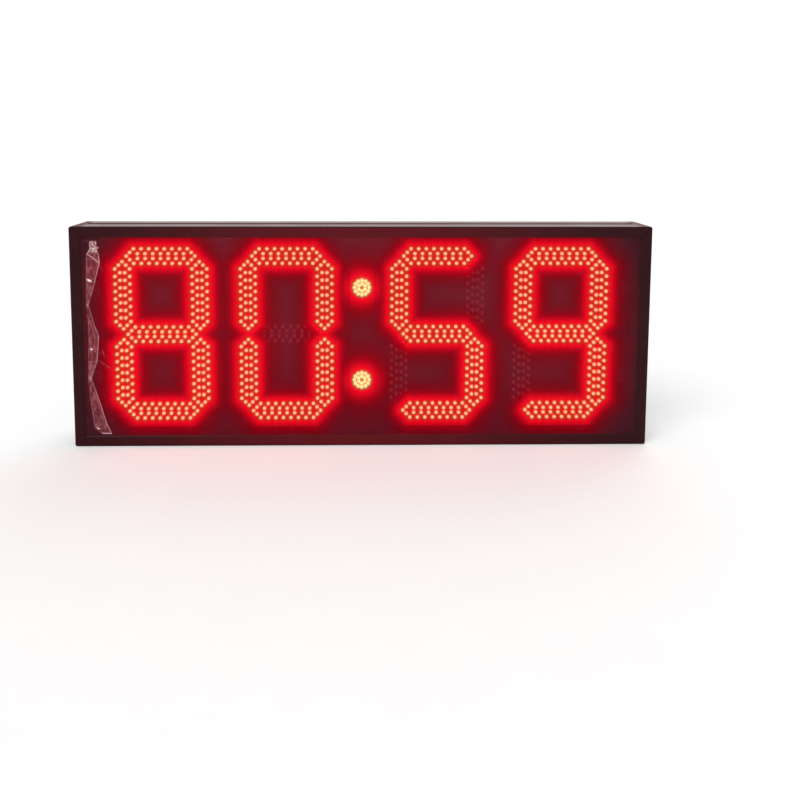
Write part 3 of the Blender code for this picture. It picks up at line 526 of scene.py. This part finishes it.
def add_glow(shape, trees, gap, reach=0.0):
    """Give every point its distance from the lit lamps, and their share round about.

    A glow lies in line with its lamp and the viewer, so it shifts with the gap from the
    point's plane forward to the lamps' crowns.
    """
    figures, colon, sparse = trees
    away = shape.verts.layers.float.new("away_from_lamps")
    about = shape.verts.layers.float.new("lamps_about")
    # So many lamps of the sparse tree in reach make the full haze
    crowd = 75.0
    # The colon's lamps stand closer, so their glow is brighter and reaches further
    edge, wider = 3.6 * MM, 1.5
    for vert in shape.verts:
        spot = vert.co + (VIEWER - vert.co) * gap / (vert.co.y - VIEWER.y)
        spot.y = 0.0
        near = colon.find(spot)[2]
        vert[away] = min(figures.find(spot)[2], near, edge + (near - edge) / wider)
        if reach:
            vert[about] = min(1.0, len(sparse.find_range(spot, reach)) / crowd)


def glow_share(context, tree):
    """Distance from the lit lamps as a share of their glow's reach."""
    away = add_node(tree, "Attribute", attribute_name="away_from_lamps")
    return add_node(tree, "MapRange", {
        "Value": away.outputs["Fac"], "From Max": sizes_of(context).glow_reach})


def fading(colour, shares):
    """Stops of a glow that falls off, from its places and shares."""
    return [(place, scaled(colour, part)) for place, part in shares]


def through(context):
    """Strength at which a glow has its written colour once it has passed the window."""
    return 1.0 / colours_of(context).window_share ** 2


def lit_material(context, name, heart, rim):
    """Diffused epoxy lens of a lit lamp: nearly white at its crown, red down its side."""
    material, tree, shader = new_material(name, {
        "Roughness": 0.3, "IOR": 1.55, "Emission Strength": 1.05 * through(context)})
    place, parts = parts_of(tree)
    up = add_node(tree, "MapRange", {
        "Value": parts["Y"], "From Min": LAMP_TIP + lamps_of(context).height,
        "From Max": LAMP_TIP})
    grain = add_node(tree, "TexNoise", {"Vector": place, "Scale": 1.0 / (12 * MM)})
    shade = add_node(tree, "Mix", {"Factor": 0.06, "A": up, "B": grain})
    ramp = add_node(tree, "ValToRGB", {"Fac": shade}, [
        (0.25, colours_of(context).halo), (0.50, rim), (0.70, heart)])
    fill(shader, {"Emission Color": ramp, "Base Color": ramp})
    return material


def glowing(context, name, dark, pale, near, rough, far_glow=(0.0, 0.0, 0.0)):
    """Dark surface that the lit lamps round about light up red.

    Near holds the two colours right beside the lamps, and the last argument is a faint glow
    painted far from them, black for none.
    """
    material, tree, shader = new_material(name, {
        "Roughness": rough, "IOR": 1.5, "Emission Strength": through(context)})
    place = add_node(tree, "TexCoord").outputs["Object"]
    cloud = add_node(tree, "TexNoise", {
        "Vector": place, "Scale": 1.0 / (6 * MM), "Detail": 3.0})
    base = add_node(tree, "ValToRGB", {"Fac": cloud}, [(0.3, dark), (0.7, pale)])
    wander = add_node(tree, "Math", (cloud, 0.02, -0.01), operation="MULTIPLY_ADD")
    total = add_node(tree, "Math", (glow_share(context, tree), wander), operation="ADD")
    ring = add_node(tree, "ValToRGB", {"Fac": total}, [
        (0.045, near[0]), (0.080, near[1]), *fading(colours_of(context).halo, FALL),
        (FALL_END, far_glow)])
    fill(shader, {"Base Color": base, "Emission Color": ring})
    return material


class SCOREBOARD_OT_stage(bpy.types.Operator):
    """Camera, lights, pale floor and white surroundings"""

    bl_idname = "scoreboard.stage"
    bl_label = "Stage"

    def execute(self, context):
        scene = context.scene
        scene.view_settings.view_transform = "Standard"
        camera = scene.camera = add_object("camera", bpy.data.cameras.new("camera"))
        # In pixels: the picture's width, the focal length and the point straight ahead
        picture, focal, ahead_x, ahead_y = 800, 749.3, 365.8, 204.8
        camera.data.sensor_width = 36.0
        camera.data.lens = camera.data.sensor_width * focal / picture
        camera.data.shift_x = 0.5 - ahead_x / picture
        camera.data.shift_y = ahead_y / picture - 0.5
        pitch, yaw, roll = (math.radians(angle) for angle in (5.045, -0.879, 0.047))
        level = Matrix(((1, 0, 0), (0, 0, -1), (0, 1, 0)))
        turn = Matrix.Rotation(roll, 3, "Z") @ Matrix.Rotation(yaw, 3, "Y")
        turn = turn @ Matrix.Rotation(pitch, 3, "X") @ level
        flip = Matrix.Diagonal((1, -1, -1))
        camera.matrix_world = Matrix.Translation(VIEWER) @ (flip @ turn).transposed().to_4x4()

        world = scene.world = bpy.data.worlds.new("studio_white")
        world.use_nodes = True
        tree = world.node_tree
        # White where it is seen, and half as strong where it only lights things
        strength = add_node(tree, "MapRange", {"Value": seen_straight(tree), "To Min": 0.5})
        fill(tree.nodes["Background"], {"Color": WHITE, "Strength": strength})

        for name, toward, spread, power in (
                ("key_light", (0.75, 1.0, -1.35), 35.0, 1.25),
                ("back_light", (-0.5, -1.0, -1.0), 50.0, 0.7)):
            light = bpy.data.lights.new(name, "SUN")
            light.angle = math.radians(spread)
            light.energy = power
            way = Vector(toward).to_track_quat("-Z", "Y")
            add_object(name, light).rotation_euler = way.to_euler()

        half_width, sunk = 12.0, 0.05 * MM
        shape = bmesh.new()
        bmesh.ops.create_grid(shape, x_segments=2, y_segments=2, size=half_width)
        bmesh.ops.translate(shape, verts=shape.verts, vec=(0.0, 0.0, -sunk))
        floor = add_object("floor", mesh_of("floor", shape))
        # Matt painted studio floor, white to the camera and to gloss, with soft shadows
        colour = colours_of(context).floor
        material = grained("matt_studio_floor", scaled(colour, 0.97), colour, 4 * MM, (0.8, 0.9),
                           sockets={"Specular IOR Level": 0.1, "Emission Color": WHITE})
        tree = material.node_tree
        lift = add_node(tree, "Math", (seen_straight(tree), 0.2), operation="MULTIPLY")
        fill(tree.nodes["Principled BSDF"], {"Emission Strength": lift})
        floor.data.materials.append(material)
        floor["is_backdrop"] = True
        return {"FINISHED"}


class SCOREBOARD_OT_frame(bpy.types.Operator):
    """Anodised rails and moulded corners"""

    bl_idname = "scoreboard.frame"
    bl_label = "Frame"

    def execute(self, context):
        colour = colours_of(context).anodised
        # Sheen where a face turns away from the eye: fine dust, with the figures' red light
        # painted into its warm red tint
        dust_and_painted_light = {"Sheen Weight": 0.5, "Sheen Roughness": 0.3, "Sheen Tint": (1.0, 0.4, 0.35, 1.0)}
        # Black anodised aluminium, extruded: satin, with long fine die lines along the rail
        for way, names, draw in (
                ("level", ("frame_top_rail", "frame_bottom_rail"), (60.0, 1.0, 1.0)),
                ("upright", ("frame_left_rail", "frame_right_rail"), (1.0, 1.0, 60.0))):
            material = grained(f"anodised_aluminium_{way}", scaled(colour, 0.75),
                               scaled(colour, 1.3), 0.6 * MM, (0.17, 0.3), 0.01 * MM, draw,
                               {"IOR": 1.6, "Specular IOR Level": 0.05, **dust_and_painted_light}, 0.2 * MM)
            redden(material)
            shade_grooves(material, 8 * MM)
            dress(names, material)
        # Glass-filled nylon, moulded and black: a fine grain, duller than the rails
        material = grained("glass_filled_nylon", scaled(colour, 0.7), scaled(colour, 1.2),
                           0.5 * MM, (0.4, 0.55), 0.02 * MM,
                           sockets={"IOR": 1.53, "Specular IOR Level": 0.06, **dust_and_painted_light},
                           edge=0.3 * MM)
        redden(material)
        dress("corner_", material)
        return {"FINISHED"}


class SCOREBOARD_OT_window(bpy.types.Operator):
    """Smoked red window, with the haze of the lamps in it"""

    bl_idname = "scoreboard.window"
    bl_label = "Window"

    def execute(self, context):
        sizes, colours = sizes_of(context), colours_of(context)
        low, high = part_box("window")
        shape = gridded_slab(low, high, sizes.haze_cell)
        crowns = low.y - LAMP_TIP - lamps_of(context).height / 4
        add_glow(shape, lamp_trees(board_lamps(context)), crowns, sizes.haze_reach)
        # Below the boards' lower edge the view meets no board, and the sheet itself glows
        below = shape.verts.layers.float.new("below_boards")
        face, foot = LAMP_TIP + lamps_of(context).height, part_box(BOARDS[0])[0].z
        for vert in shape.verts:
            sight = vert.co - VIEWER
            spot = VIEWER + sight * (face - VIEWER.y) / sight.y
            vert[below] = min(1.0, max(0.0, (foot - spot.z) / (2 * MM) + 0.5))
        # Cast acrylic, smoked red: gloss, with faint dust that dulls the shine in clouds. Light
        # from the lamps scatters in it, as a red haze round them.
        window, halo = colours.window, colours.halo
        material = grained("smoked_cast_acrylic", scaled(window, 0.75), scaled(window, 1.3),
                           0.9 * MM, (0.1, 0.2), draw=(70.0, 1.0, 1.0), sockets={
                               "IOR": 1.49, "Specular IOR Level": 0.015,
                               "Alpha": 1.0 - colours.window_share, "Emission Strength": 1.2})
        tree = material.node_tree
        share = glow_share(context, tree)
        glow = add_node(tree, "ValToRGB", {"Fac": share}, fading(halo, (
            (0.0, 0.21), (0.35, 0.20), (0.45, 0.14), (0.58, 0.065), (0.85, 0.0))))
        # Clear of the lamps a painted glow on its front stands for the room's light on its dust,
        # most towards the top
        parts = parts_of(tree)[1]
        off = add_node(tree, "Math", (parts["X"],), operation="ABSOLUTE")
        clear, front, rising, inward = (
            add_node(tree, "MapRange", {"Value": value, "From Min": start, "From Max": end})
            for value, start, end in (
                (share, 0.3, 0.75), (parts["Y"], high.y, low.y), (parts["Z"], low.z, high.z),
                (off, 318 * MM, 250 * MM)))
        clear = add_node(tree, "Math", (clear, front), operation="MULTIPLY")
        dust_and_painted_light = add_node(tree, "Mix", {
            "Factor": rising, "A": (0.0524, 0.0069, 0.0117, 1.0),
            "B": (0.0883, 0.0173, 0.0248, 1.0)}, data_type="RGBA")
        dust_and_painted_light = add_node(tree, "Mix", {
            "Factor": inward, "A": (0.0, 0.0117, 0.0145, 1.0), "B": dust_and_painted_light}, data_type="RGBA")
        fall = add_node(tree, "ValToRGB", {"Fac": share}, [
            *fading(halo, FALL), (FALL_END, (0.0, 0.0, 0.0))])
        under = add_node(tree, "Attribute", attribute_name="below_boards")
        crowd = add_node(tree, "Attribute", attribute_name="lamps_about")
        haze = add_node(tree, "Math", (crowd.outputs["Fac"], 0.18), operation="MULTIPLY")
        for amount, light in ((clear, dust_and_painted_light), (under.outputs["Fac"], fall),
                              (haze, (*halo, 1.0))):
            glow = add_node(tree, "Mix", {
                "Factor": amount, "A": glow, "B": light}, data_type="RGBA", blend_type="ADD")
        fill(tree.nodes["Principled BSDF"], {"Emission Color": glow})
        add_piece("window_sheet", shape, material, ("window",))
        return {"FINISHED"}


def film_edges(height):
    """Left and right edge of the film at a height, in mm."""
    for (high, *upper), (low, *under) in zip(FILM_ROWS, FILM_ROWS[1:]):
        if height >= low:
            break
    share = (high - height) / (high - low)
    return [a + (b - a) * share for a, b in zip(upper, under)]


class SCOREBOARD_OT_film(bpy.types.Operator):
    """Creased strip of protective film on the window"""

    bl_idname = "scoreboard.film"
    bl_label = "Protective film"

    def execute(self, context):
        sizes, colours = sizes_of(context), colours_of(context)
        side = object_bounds()[0].x
        top, bottom = FILM_ROWS[0][0], FILM_ROWS[-1][0]
        shape = bmesh.new()
        bmesh.ops.create_grid(shape, x_segments=20, y_segments=320, size=0.5)
        crease = shape.verts.layers.float.new("crease")
        rest = FRONT + 1.95 * MM
        for vert in shape.verts:
            across, height = vert.co.x + 0.5, top + (bottom - top) * (0.5 - vert.co.y)
            left, right = film_edges(height)
            torn = min(1.0, max(0.2, (height - FILM_TORN) / 4.0))
            left += 1.4 * torn * noise.noise(Vector((0.0, 1.0, height / 2.2)))
            right += 2.2 * torn * noise.noise(Vector((0.0, 9.0, height / 2.8)))
            spot = Vector((left + across * (right - left), 0.0, height))
            patches = Vector((spot.x, 0.0, spot.z * 0.5)) / (sizes.film_facet / MM)
            gaps, _ = noise.voronoi(patches * (1.0 + 1.6 * torn))
            fold = 0.75 * max(0.0, 1.0 - (gaps[1] - gaps[0]) / 0.14)
            strand = max(0.0, 1.0 - abs(noise.noise(patches * 4.5)) / 0.22)
            if torn > 0.3:
                fold = torn * (0.7 + 1.2 * strand)
            # Curled edge, one slanting fold, and the two places where the film twists, all made
            # bright by a painted highlight
            rim = min(1.8, max((across - 0.90) / 0.05, (0.08 - across) / 0.07))
            slant = 1.8 - abs(height - (224.5 - 11.0 * across)) / 0.7
            pinch = 1.1 - min(abs(height - twist) for twist in FILM_TWISTS) / 5.0
            hem = 1.9 - (height - bottom) / 1.1
            fold = max(fold, rim * (1.0 - 0.6 * torn), slant, pinch, hem)
            # Painted glints: these spots take the highest crease values, which paint them nearly
            # white
            for x, z, long, wide in FILM_GLINTS:
                along, off = spot.x - x, spot.z - z
                reach = math.hypot((along - off * 0.5) / long, (off + along * 0.5) / wide)
                fold = max(fold, 3.2 - 1.6 * reach) if reach < 1.4 else fold
            vert[crease] = fold
            wave = 0.5 + 0.5 * noise.noise(patches * 1.7)
            stand = min(1.0, 0.6 * max(0.0, min(fold, 1.0)) + 0.5 * wave)
            vert.co = (side + spot.x * MM, rest - sizes.film_crease * stand, spot.z * MM)
        bmesh.ops.recalc_face_normals(shape, faces=shape.faces)
        bmesh.ops.solidify(shape, geom=shape.faces, thickness=sizes.film_thickness)
        for x0, z0, x1, z1 in FILM_THREADS:
            start, end = Vector((x0, 0.0, z0)) * MM, Vector((x1, 0.0, z1)) * MM
            along = end - start
            stand = Matrix.LocRotScale(
                (start + end) / 2 + Vector((side, rest, 0.0)), along.to_track_quat("X", "Y"),
                (along.length, 0.2 * MM, 0.4 * MM))
            for vert in bmesh.ops.create_cube(shape, size=1.0, matrix=stand)["verts"]:
                vert[crease] = 0.85
        # Clear polyethylene film, 0.05 mm: nearly see-through, and milky at its creases, which a
        # painted highlight turns nearly white
        material, tree, shader = new_material("clear_polyethylene_film", {
            "Roughness": 0.22, "IOR": 1.5})
        fold = add_node(tree, "Attribute", attribute_name="crease").outputs["Fac"]
        place = add_node(tree, "TexCoord").outputs["Object"]
        cloud = add_node(tree, "TexNoise", {
            "Vector": place, "Scale": 1.0 / (5 * MM), "Detail": 4.0})
        milky = add_node(tree, "Math", (fold, 0.36), operation="MULTIPLY")
        milky = add_node(tree, "Math", (cloud, 0.15, milky), operation="MULTIPLY_ADD",
                         use_clamp=True)
        # Its pink is the lamps' red light, painted into the film's colour
        film = colours.film
        colour = add_node(tree, "ValToRGB", {"Fac": cloud}, [
            (0.35, scaled(film, 0.8)), (0.65, film)])
        # Painted highlight: the higher the crease value, the whiter the film
        painted_shine = add_node(tree, "MapRange", {
            "Value": fold, "From Min": 0.5, "From Max": 2.4})
        colour = add_node(tree, "Mix", {
            "Factor": painted_shine, "A": colour, "B": (1.0, 0.98, 0.98, 1.0)}, data_type="RGBA")
        fill(shader, {"Alpha": milky, "Base Color": colour})
        add_piece("film_strip", shape, material, ("protective_film",),
                  crease=40.0)
        return {"FINISHED"}


class SCOREBOARD_OT_boards(bpy.types.Operator):
    """Circuit boards, glowing near the lit lamps, with their headers"""

    bl_idname = "scoreboard.boards"
    bl_label = "Boards"

    def execute(self, context):
        lamps, sizes = lamps_of(context), sizes_of(context)
        # Matt black solder mask on glass-fibre laminate; the colon's lamps stand closer
        dark, pale = linear("0C0A0B"), linear("161213")
        digit_mask = glowing(context, "black_solder_mask", dark, pale,
                             (linear("B24C2A"), linear("A0280C")), 0.55)
        colon_mask = glowing(context, "black_solder_mask_colon", dark, pale,
                             (linear("70AE70"), linear("B03622")), 0.55)
        trees = lamp_trees(board_lamps(context))
        face = LAMP_TIP + lamps.height
        # Black nylon, moulded: a dull fine grain
        header = grained("header_nylon", linear("0B0B0C"), linear("1A191B"), 0.6 * MM,
                         (0.4, 0.55), 0.02 * MM)
        thickness = 1.6 * MM
        # Headers: half their size, how far in from the board's sides, and over its middle
        half_x, half_z, inset, rise, drop = 8 * MM, 4.5 * MM, 21.7 * MM, 34.5 * MM, -20 * MM
        for name in BOARDS:
            low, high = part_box(name)
            middle = (low + high) / 2
            shape = gridded_slab(Vector((low.x, face, low.z)),
                                 Vector((high.x, face + thickness, high.z)), sizes.glow_cell)
            add_glow(shape, trees, lamps.height * 0.75)
            colon = name == "colon_board"
            add_piece(f"{name}_laminate", shape, colon_mask if colon else digit_mask,
                      (name,))

            reach = (high.x - low.x) / 2 - inset
            spots = [(0.0, rise)] if colon else [(-reach, rise), (reach, rise)]
            if name == "digit_3_board":
                spots.append((reach, drop))
            shape = bmesh.new()
            for across, up in spots:
                x, z = middle.x + across, middle.z + up
                add_slab(shape, (x - half_x, face + thickness, z - half_z),
                         (x + half_x, high.y, z + half_z), sizes.edge)
            add_piece(f"{name}_headers", shape, header)
        return {"FINISHED"}


class SCOREBOARD_OT_lamps(bpy.types.Operator):
    """Round lamps, lit and dark, and the infrared receiver"""

    bl_idname = "scoreboard.lamps"
    bl_label = "Lamps"

    def execute(self, context):
        lamps, colours = lamps_of(context), colours_of(context)
        r, h = lamps.radius, lamps.height
        # Lens of a through-hole lamp: a short cylinder under a dome
        outline = [(0.0, 0.0), (r, 0.0), (r, -0.50 * h), (0.88 * r, -0.75 * h),
                   (0.52 * r, -0.93 * h), (0.0, -h)]
        digit_lens = lit_material(context, "lit_epoxy_lens", colours.lamp_heart,
                                  colours.lamp_rim)
        colon_lens = lit_material(context, "lit_epoxy_lens_colon", colours.colon_heart,
                                  colours.colon_rim)
        # Diffused epoxy of an unlit lamp: a faint red, and its neighbours' red passes through it.
        # Far from lit lamps it is given a faint painted red glow.
        dark = colours.lamp_dark
        dark_lens = glowing(context, "dark_epoxy_lens", scaled(dark, 0.8), dark,
                            (linear("D85A40"), linear("C83A20")), 0.3, linear("42171B"))
        groups = board_lamps(context)
        trees = lamp_trees(groups)
        for name, lit, unlit in groups:
            lit_lens = colon_lens if name == "colon_board" else digit_lens
            for kind, places, material in (("lit", lit, lit_lens), ("dark", unlit, dark_lens)):
                if not places:
                    continue
                shape = place_copies(turned(outline, 8),
                                     [Vector((x, LAMP_TIP + h, z)) for x, z in places])
                if kind == "dark":
                    add_glow(shape, trees, 0.0)
                add_piece(f"{name}_lamps_{kind}", shape, material, crease=80.0)
        # Dark infrared-passing epoxy, moulded: deep gloss
        dress("infrared_receiver", grained("infrared_epoxy", linear("0B0508"), linear("1A0B12"),
                                           3 * MM, (0.08, 0.16), sockets={"IOR": 1.55}))
        return {"FINISHED"}


def add_screw(name, finish, head, recess, turn=0.0):
    """Screw that stands for a solid: head ends its outline, and recess is half a cross bar."""
    low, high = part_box(name)
    shank = head[0][0]
    shape = turned([(0.0, low.y), (0.6 * shank, low.y), (shank, low.y + 0.8 * MM), *head,
                    (0.0, high.y)], 24)
    for quarter in (0.0, math.pi / 2):
        blade = bmesh.new()
        stand = Matrix.LocRotScale((0.0, high.y, 0.0), Matrix.Rotation(quarter, 3, "Y"), recess)
        verts = bmesh.ops.create_cube(blade, size=2.0, matrix=stand)["verts"]
        deep = [vert for vert in verts if vert.co.y < high.y]
        bmesh.ops.scale(blade, verts=deep, vec=(0.45, 1.0, 0.6))
        shape = carve(shape, blade)
    middle = middle_of(name)
    place = Matrix.Translation((middle.x, 0.0, middle.z)) @ Matrix.Rotation(turn, 4, "Y")
    bmesh.ops.transform(shape, matrix=place, verts=shape.verts)
    add_piece(f"{name}_cross_head", shape, finish, (name,))


class SCOREBOARD_OT_back(bpy.types.Operator):
    """Back panel, its screws, and the pivots of the hanging ears"""

    bl_idname = "scoreboard.back"
    bl_label = "Back"

    def execute(self, context):
        panel, half_slot = colours_of(context).panel, sizes_of(context).recess_width / 2
        # Steel sheet, powder-coated black: orange peel about 1.2 mm across
        dress("back_panel", grained("powder_coated_steel", scaled(panel, 0.75),
                                    scaled(panel, 1.35), 1.2 * MM, (0.42, 0.58), 0.05 * MM,
                                    sockets={"IOR": 1.5, "Specular IOR Level": 0.25}))
        # Screws and pivots share the ears' plain zinc plating, which comes with the frame
        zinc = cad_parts["hanging_ear_left"].material_slots[0].material
        shank, shoulder, rise, sunk = 1.5 * MM, 2.1 * MM, 1.8 * MM, 3.5 * MM
        for number in range(1, 9):
            name = f"panel_screw_{number}"
            low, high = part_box(name)
            head, seat = (high.x - low.x) / 2, high.y - rise
            add_screw(name, zinc, [
                (shank, seat), (head, seat), (head, seat + 0.25 * rise),
                (0.86 * head, seat + 0.62 * rise), (0.5 * head, seat + 0.92 * rise)],
                (0.62 * head, 1.1 * MM, half_slot), 0.7 * number)
        for side in ("left", "right"):
            name = f"ear_pivot_{side}"
            low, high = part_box(name)
            head, step = (high.x - low.x) / 2, high.y - sunk
            add_screw(name, zinc, [
                (shank, step), (shoulder, step), (shoulder, high.y - head + shoulder),
                (head, high.y)], (0.6 * head, 1.2 * MM, half_slot))
        return {"FINISHED"}


def flanged_housing(name, lip, corners, edge):
    """Flange that lies on the panel, with the body behind it set in by the lip.

    Corners are the roundings of the flange and of the body.
    """
    low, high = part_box(name)
    flange = Vector((0.0, 2.0 * MM, 0.0))
    inset = Vector((lip, 0.0, lip))
    rim = add_slab(bmesh.new(), (low.x, high.y - flange.y, low.z), high, corners[0], edge)
    body = add_slab(bmesh.new(), low + inset, high - inset - flange / 2, corners[1])
    return carve(rim, body, "UNION")


def well_of(name, inset, floor, corner):
    """Cutter for the well of a housing: set in all round, and open to the back."""
    low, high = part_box(name)
    inset = Vector((inset, 0.0, inset))
    start, end = low + inset, high - inset
    start.y = floor
    end.y += 2.0 * MM
    return add_slab(bmesh.new(), start, end, corner)


class SCOREBOARD_OT_mains(bpy.types.Operator):
    """Mains inlet with its blades, and the rocker switch"""

    bl_idname = "scoreboard.mains"
    bl_label = "Mains inlet and switch"

    def execute(self, context):
        edge, colours = sizes_of(context).edge, colours_of(context)
        # Black glass-filled nylon, spark-eroded mould: an even fine grain and a dull sheen
        black = colours.nylon
        nylon = grained("spark_eroded_nylon", scaled(black, 0.7), scaled(black, 1.5), 0.5 * MM,
                        (0.42, 0.6), 0.03 * MM,
                        sockets={"IOR": 1.53, "Specular IOR Level": 0.1})
        middle, (low, high) = middle_of("power_inlet"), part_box("power_inlet")
        lip, wall, chamfer = 1.9 * MM, 1.4 * MM, 4.0 * MM
        floor = low.y + 3.0 * MM
        shape = flanged_housing("power_inlet", lip, (3.0 * MM, 1.0 * MM), edge)
        socket = well_of("power_inlet", lip + wall, floor, 0.8 * MM)
        top = [v for v in socket.verts if v.co.z > high.z - lip - wall - chamfer / 2]
        bmesh.ops.scale(socket, verts=top, vec=(0.72, 1.0, 1.0),
                        space=Matrix.Translation((-middle.x, 0.0, 0.0)))
        add_piece("inlet_housing", carve(shape, socket), nylon,
                  ("power_inlet",))
        # Nickel-plated brass blades, stamped: bright, faintly yellow, drawn along their length
        nickel = grained("nickel_plated_brass", linear("A9A08A"), linear("D2CBB8"), 0.3 * MM,
                         (0.18, 0.3), 0.004 * MM, (1.0, 20.0, 1.0), {"Metallic": 1.0})
        shape = bmesh.new()
        for across, up in ((-7.0, 0.0), (0.0, 3.0), (7.0, 0.0)):
            foot = Vector((middle.x + across * MM, floor, middle.z + up * MM))
            add_slab(shape, foot - Vector((1.0, 1.5, 2.0)) * MM,
                     foot + Vector((1.0, 11.5, 2.0)) * MM, 0.3 * MM, 0.3 * MM)
        add_piece("inlet_blades", shape, nickel)

        lip, wall, depth = 1.4 * MM, 1.3 * MM, 8.4 * MM
        shape = flanged_housing("switch_housing", lip, (1.4 * MM, 0.8 * MM), edge)
        well = well_of("switch_housing", lip + wall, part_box("switch_housing")[1].y - depth,
                       0.4 * MM)
        add_piece("switch_bezel", carve(shape, well), nylon,
                  ("switch_housing",))

        shape = bmesh.new()
        shape.from_mesh(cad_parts["switch_rocker"].data)
        bmesh.ops.remove_doubles(shape, verts=shape.verts, dist=0.001 * MM)
        bmesh.ops.dissolve_limit(shape, angle_limit=math.radians(1), verts=shape.verts,
                                 edges=shape.edges)
        bmesh.ops.bevel(shape, geom=list(shape.edges), offset=0.35 * MM, segments=3,
                        profile=0.5, affect="EDGES", material=-1, clamp_overlap=True)
        # Red polycarbonate, moulded: clear deep gloss with faint flow lines
        rocker = colours.rocker
        gloss = grained("red_polycarbonate", scaled(rocker, 0.85), rocker, 2.5 * MM,
                        (0.14, 0.24), sockets={"IOR": 1.58})
        add_piece("rocker_cap", shape, gloss, ("switch_rocker",), "rocker", 25.0)
        return {"FINISHED"}


class SCOREBOARD_OT_inside(bpy.types.Operator):
    """Carriers, power supply, control board and wiring"""

    bl_idname = "scoreboard.inside"
    bl_label = "Inside"

    def execute(self, context):
        # Aluminium channel as it left the mill: dull grey, with lines along its length
        dress(("upper_carrier", "lower_carrier"), grained(
            "mill_finish_aluminium", linear("66676A"), linear("87888B"), 0.5 * MM,
            (0.28, 0.42), 0.01 * MM, (80.0, 1.0, 1.0), {"Metallic": 1.0}))
        # Galvanised steel sheet: grey spangle about 8 mm across
        dress("power_supply", grained(
            "galvanised_sheet", linear("9A9DA1"), linear("C2C5C9"), 8 * MM, (0.3, 0.5),
            0.01 * MM, sockets={"Metallic": 1.0}))
        # Green solder mask over copper: gloss, darker between its tracks
        dress("control_board", grained(
            "green_solder_mask", linear("0C3A1E"), linear("1B5E33"), 2.5 * MM, (0.25, 0.4),
            0.02 * MM, (6.0, 1.0, 1.0)))
        # Grey ribbon cable: one ridge for each core, 1.27 mm apart
        dress("ribbon_", grained(
            "pvc_ribbon", linear("8C8D90"), linear("B5B6B9"), 1.27 * MM, (0.4, 0.5), 0.1 * MM,
            (40.0, 40.0, 1.0)))
        # Black sheath: soft PVC, slightly waxy
        dress("lead_", grained(
            "pvc_sheath", linear("0E0E10"), linear("1C1C1F"), 1.5 * MM, (0.4, 0.55), 0.02 * MM))
        return {"FINISHED"}


class SCOREBOARD_PT_panel(bpy.types.Panel):
    """Lists the settings and the steps of the scoreboard"""

    bl_idname = "SCOREBOARD_PT_panel"
    bl_label = "Scoreboard"
    bl_space_type = "VIEW_3D"
    bl_region_type = "UI"
    bl_category = "Scoreboard"

    def draw(self, context):
        for group in (getattr(context.scene, name) for name in GROUPS):
            column = self.layout.column()
            for name in group.bl_rna.properties.keys():
                if name not in ("rna_type", "name"):
                    column.prop(group, name)
        for step in STEPS:
            self.layout.operator(step.bl_idname)


STEPS = (
    SCOREBOARD_OT_stage, SCOREBOARD_OT_frame, SCOREBOARD_OT_window, SCOREBOARD_OT_film,
    SCOREBOARD_OT_boards, SCOREBOARD_OT_lamps, SCOREBOARD_OT_back, SCOREBOARD_OT_mains,
    SCOREBOARD_OT_inside,
)
GROUPS = {
    "scoreboard_lamps": ScoreboardLamps,
    "scoreboard_sizes": ScoreboardSizes,
    "scoreboard_colours": ScoreboardColours,
}
CLASSES = (*GROUPS.values(), *STEPS, SCOREBOARD_PT_panel)


def register():
    """Register the settings, the steps and the panel."""
    for item in CLASSES:
        bpy.utils.register_class(item)
    for name, group in GROUPS.items():
        setattr(bpy.types.Scene, name, PointerProperty(type=group))


def unregister():
    """Take the settings, the steps and the panel out again."""
    for name in GROUPS:
        delattr(bpy.types.Scene, name)
    for item in reversed(CLASSES):
        bpy.utils.unregister_class(item)


def main():
    """Dress the whole scoreboard."""
    register()
    bpy.ops.scoreboard.stage()
    bpy.ops.scoreboard.frame()
    bpy.ops.scoreboard.window()
    bpy.ops.scoreboard.film()
    bpy.ops.scoreboard.boards()
    bpy.ops.scoreboard.lamps()
    bpy.ops.scoreboard.back()
    bpy.ops.scoreboard.mains()
    bpy.ops.scoreboard.inside()


if __name__ == "__main__":
    main()
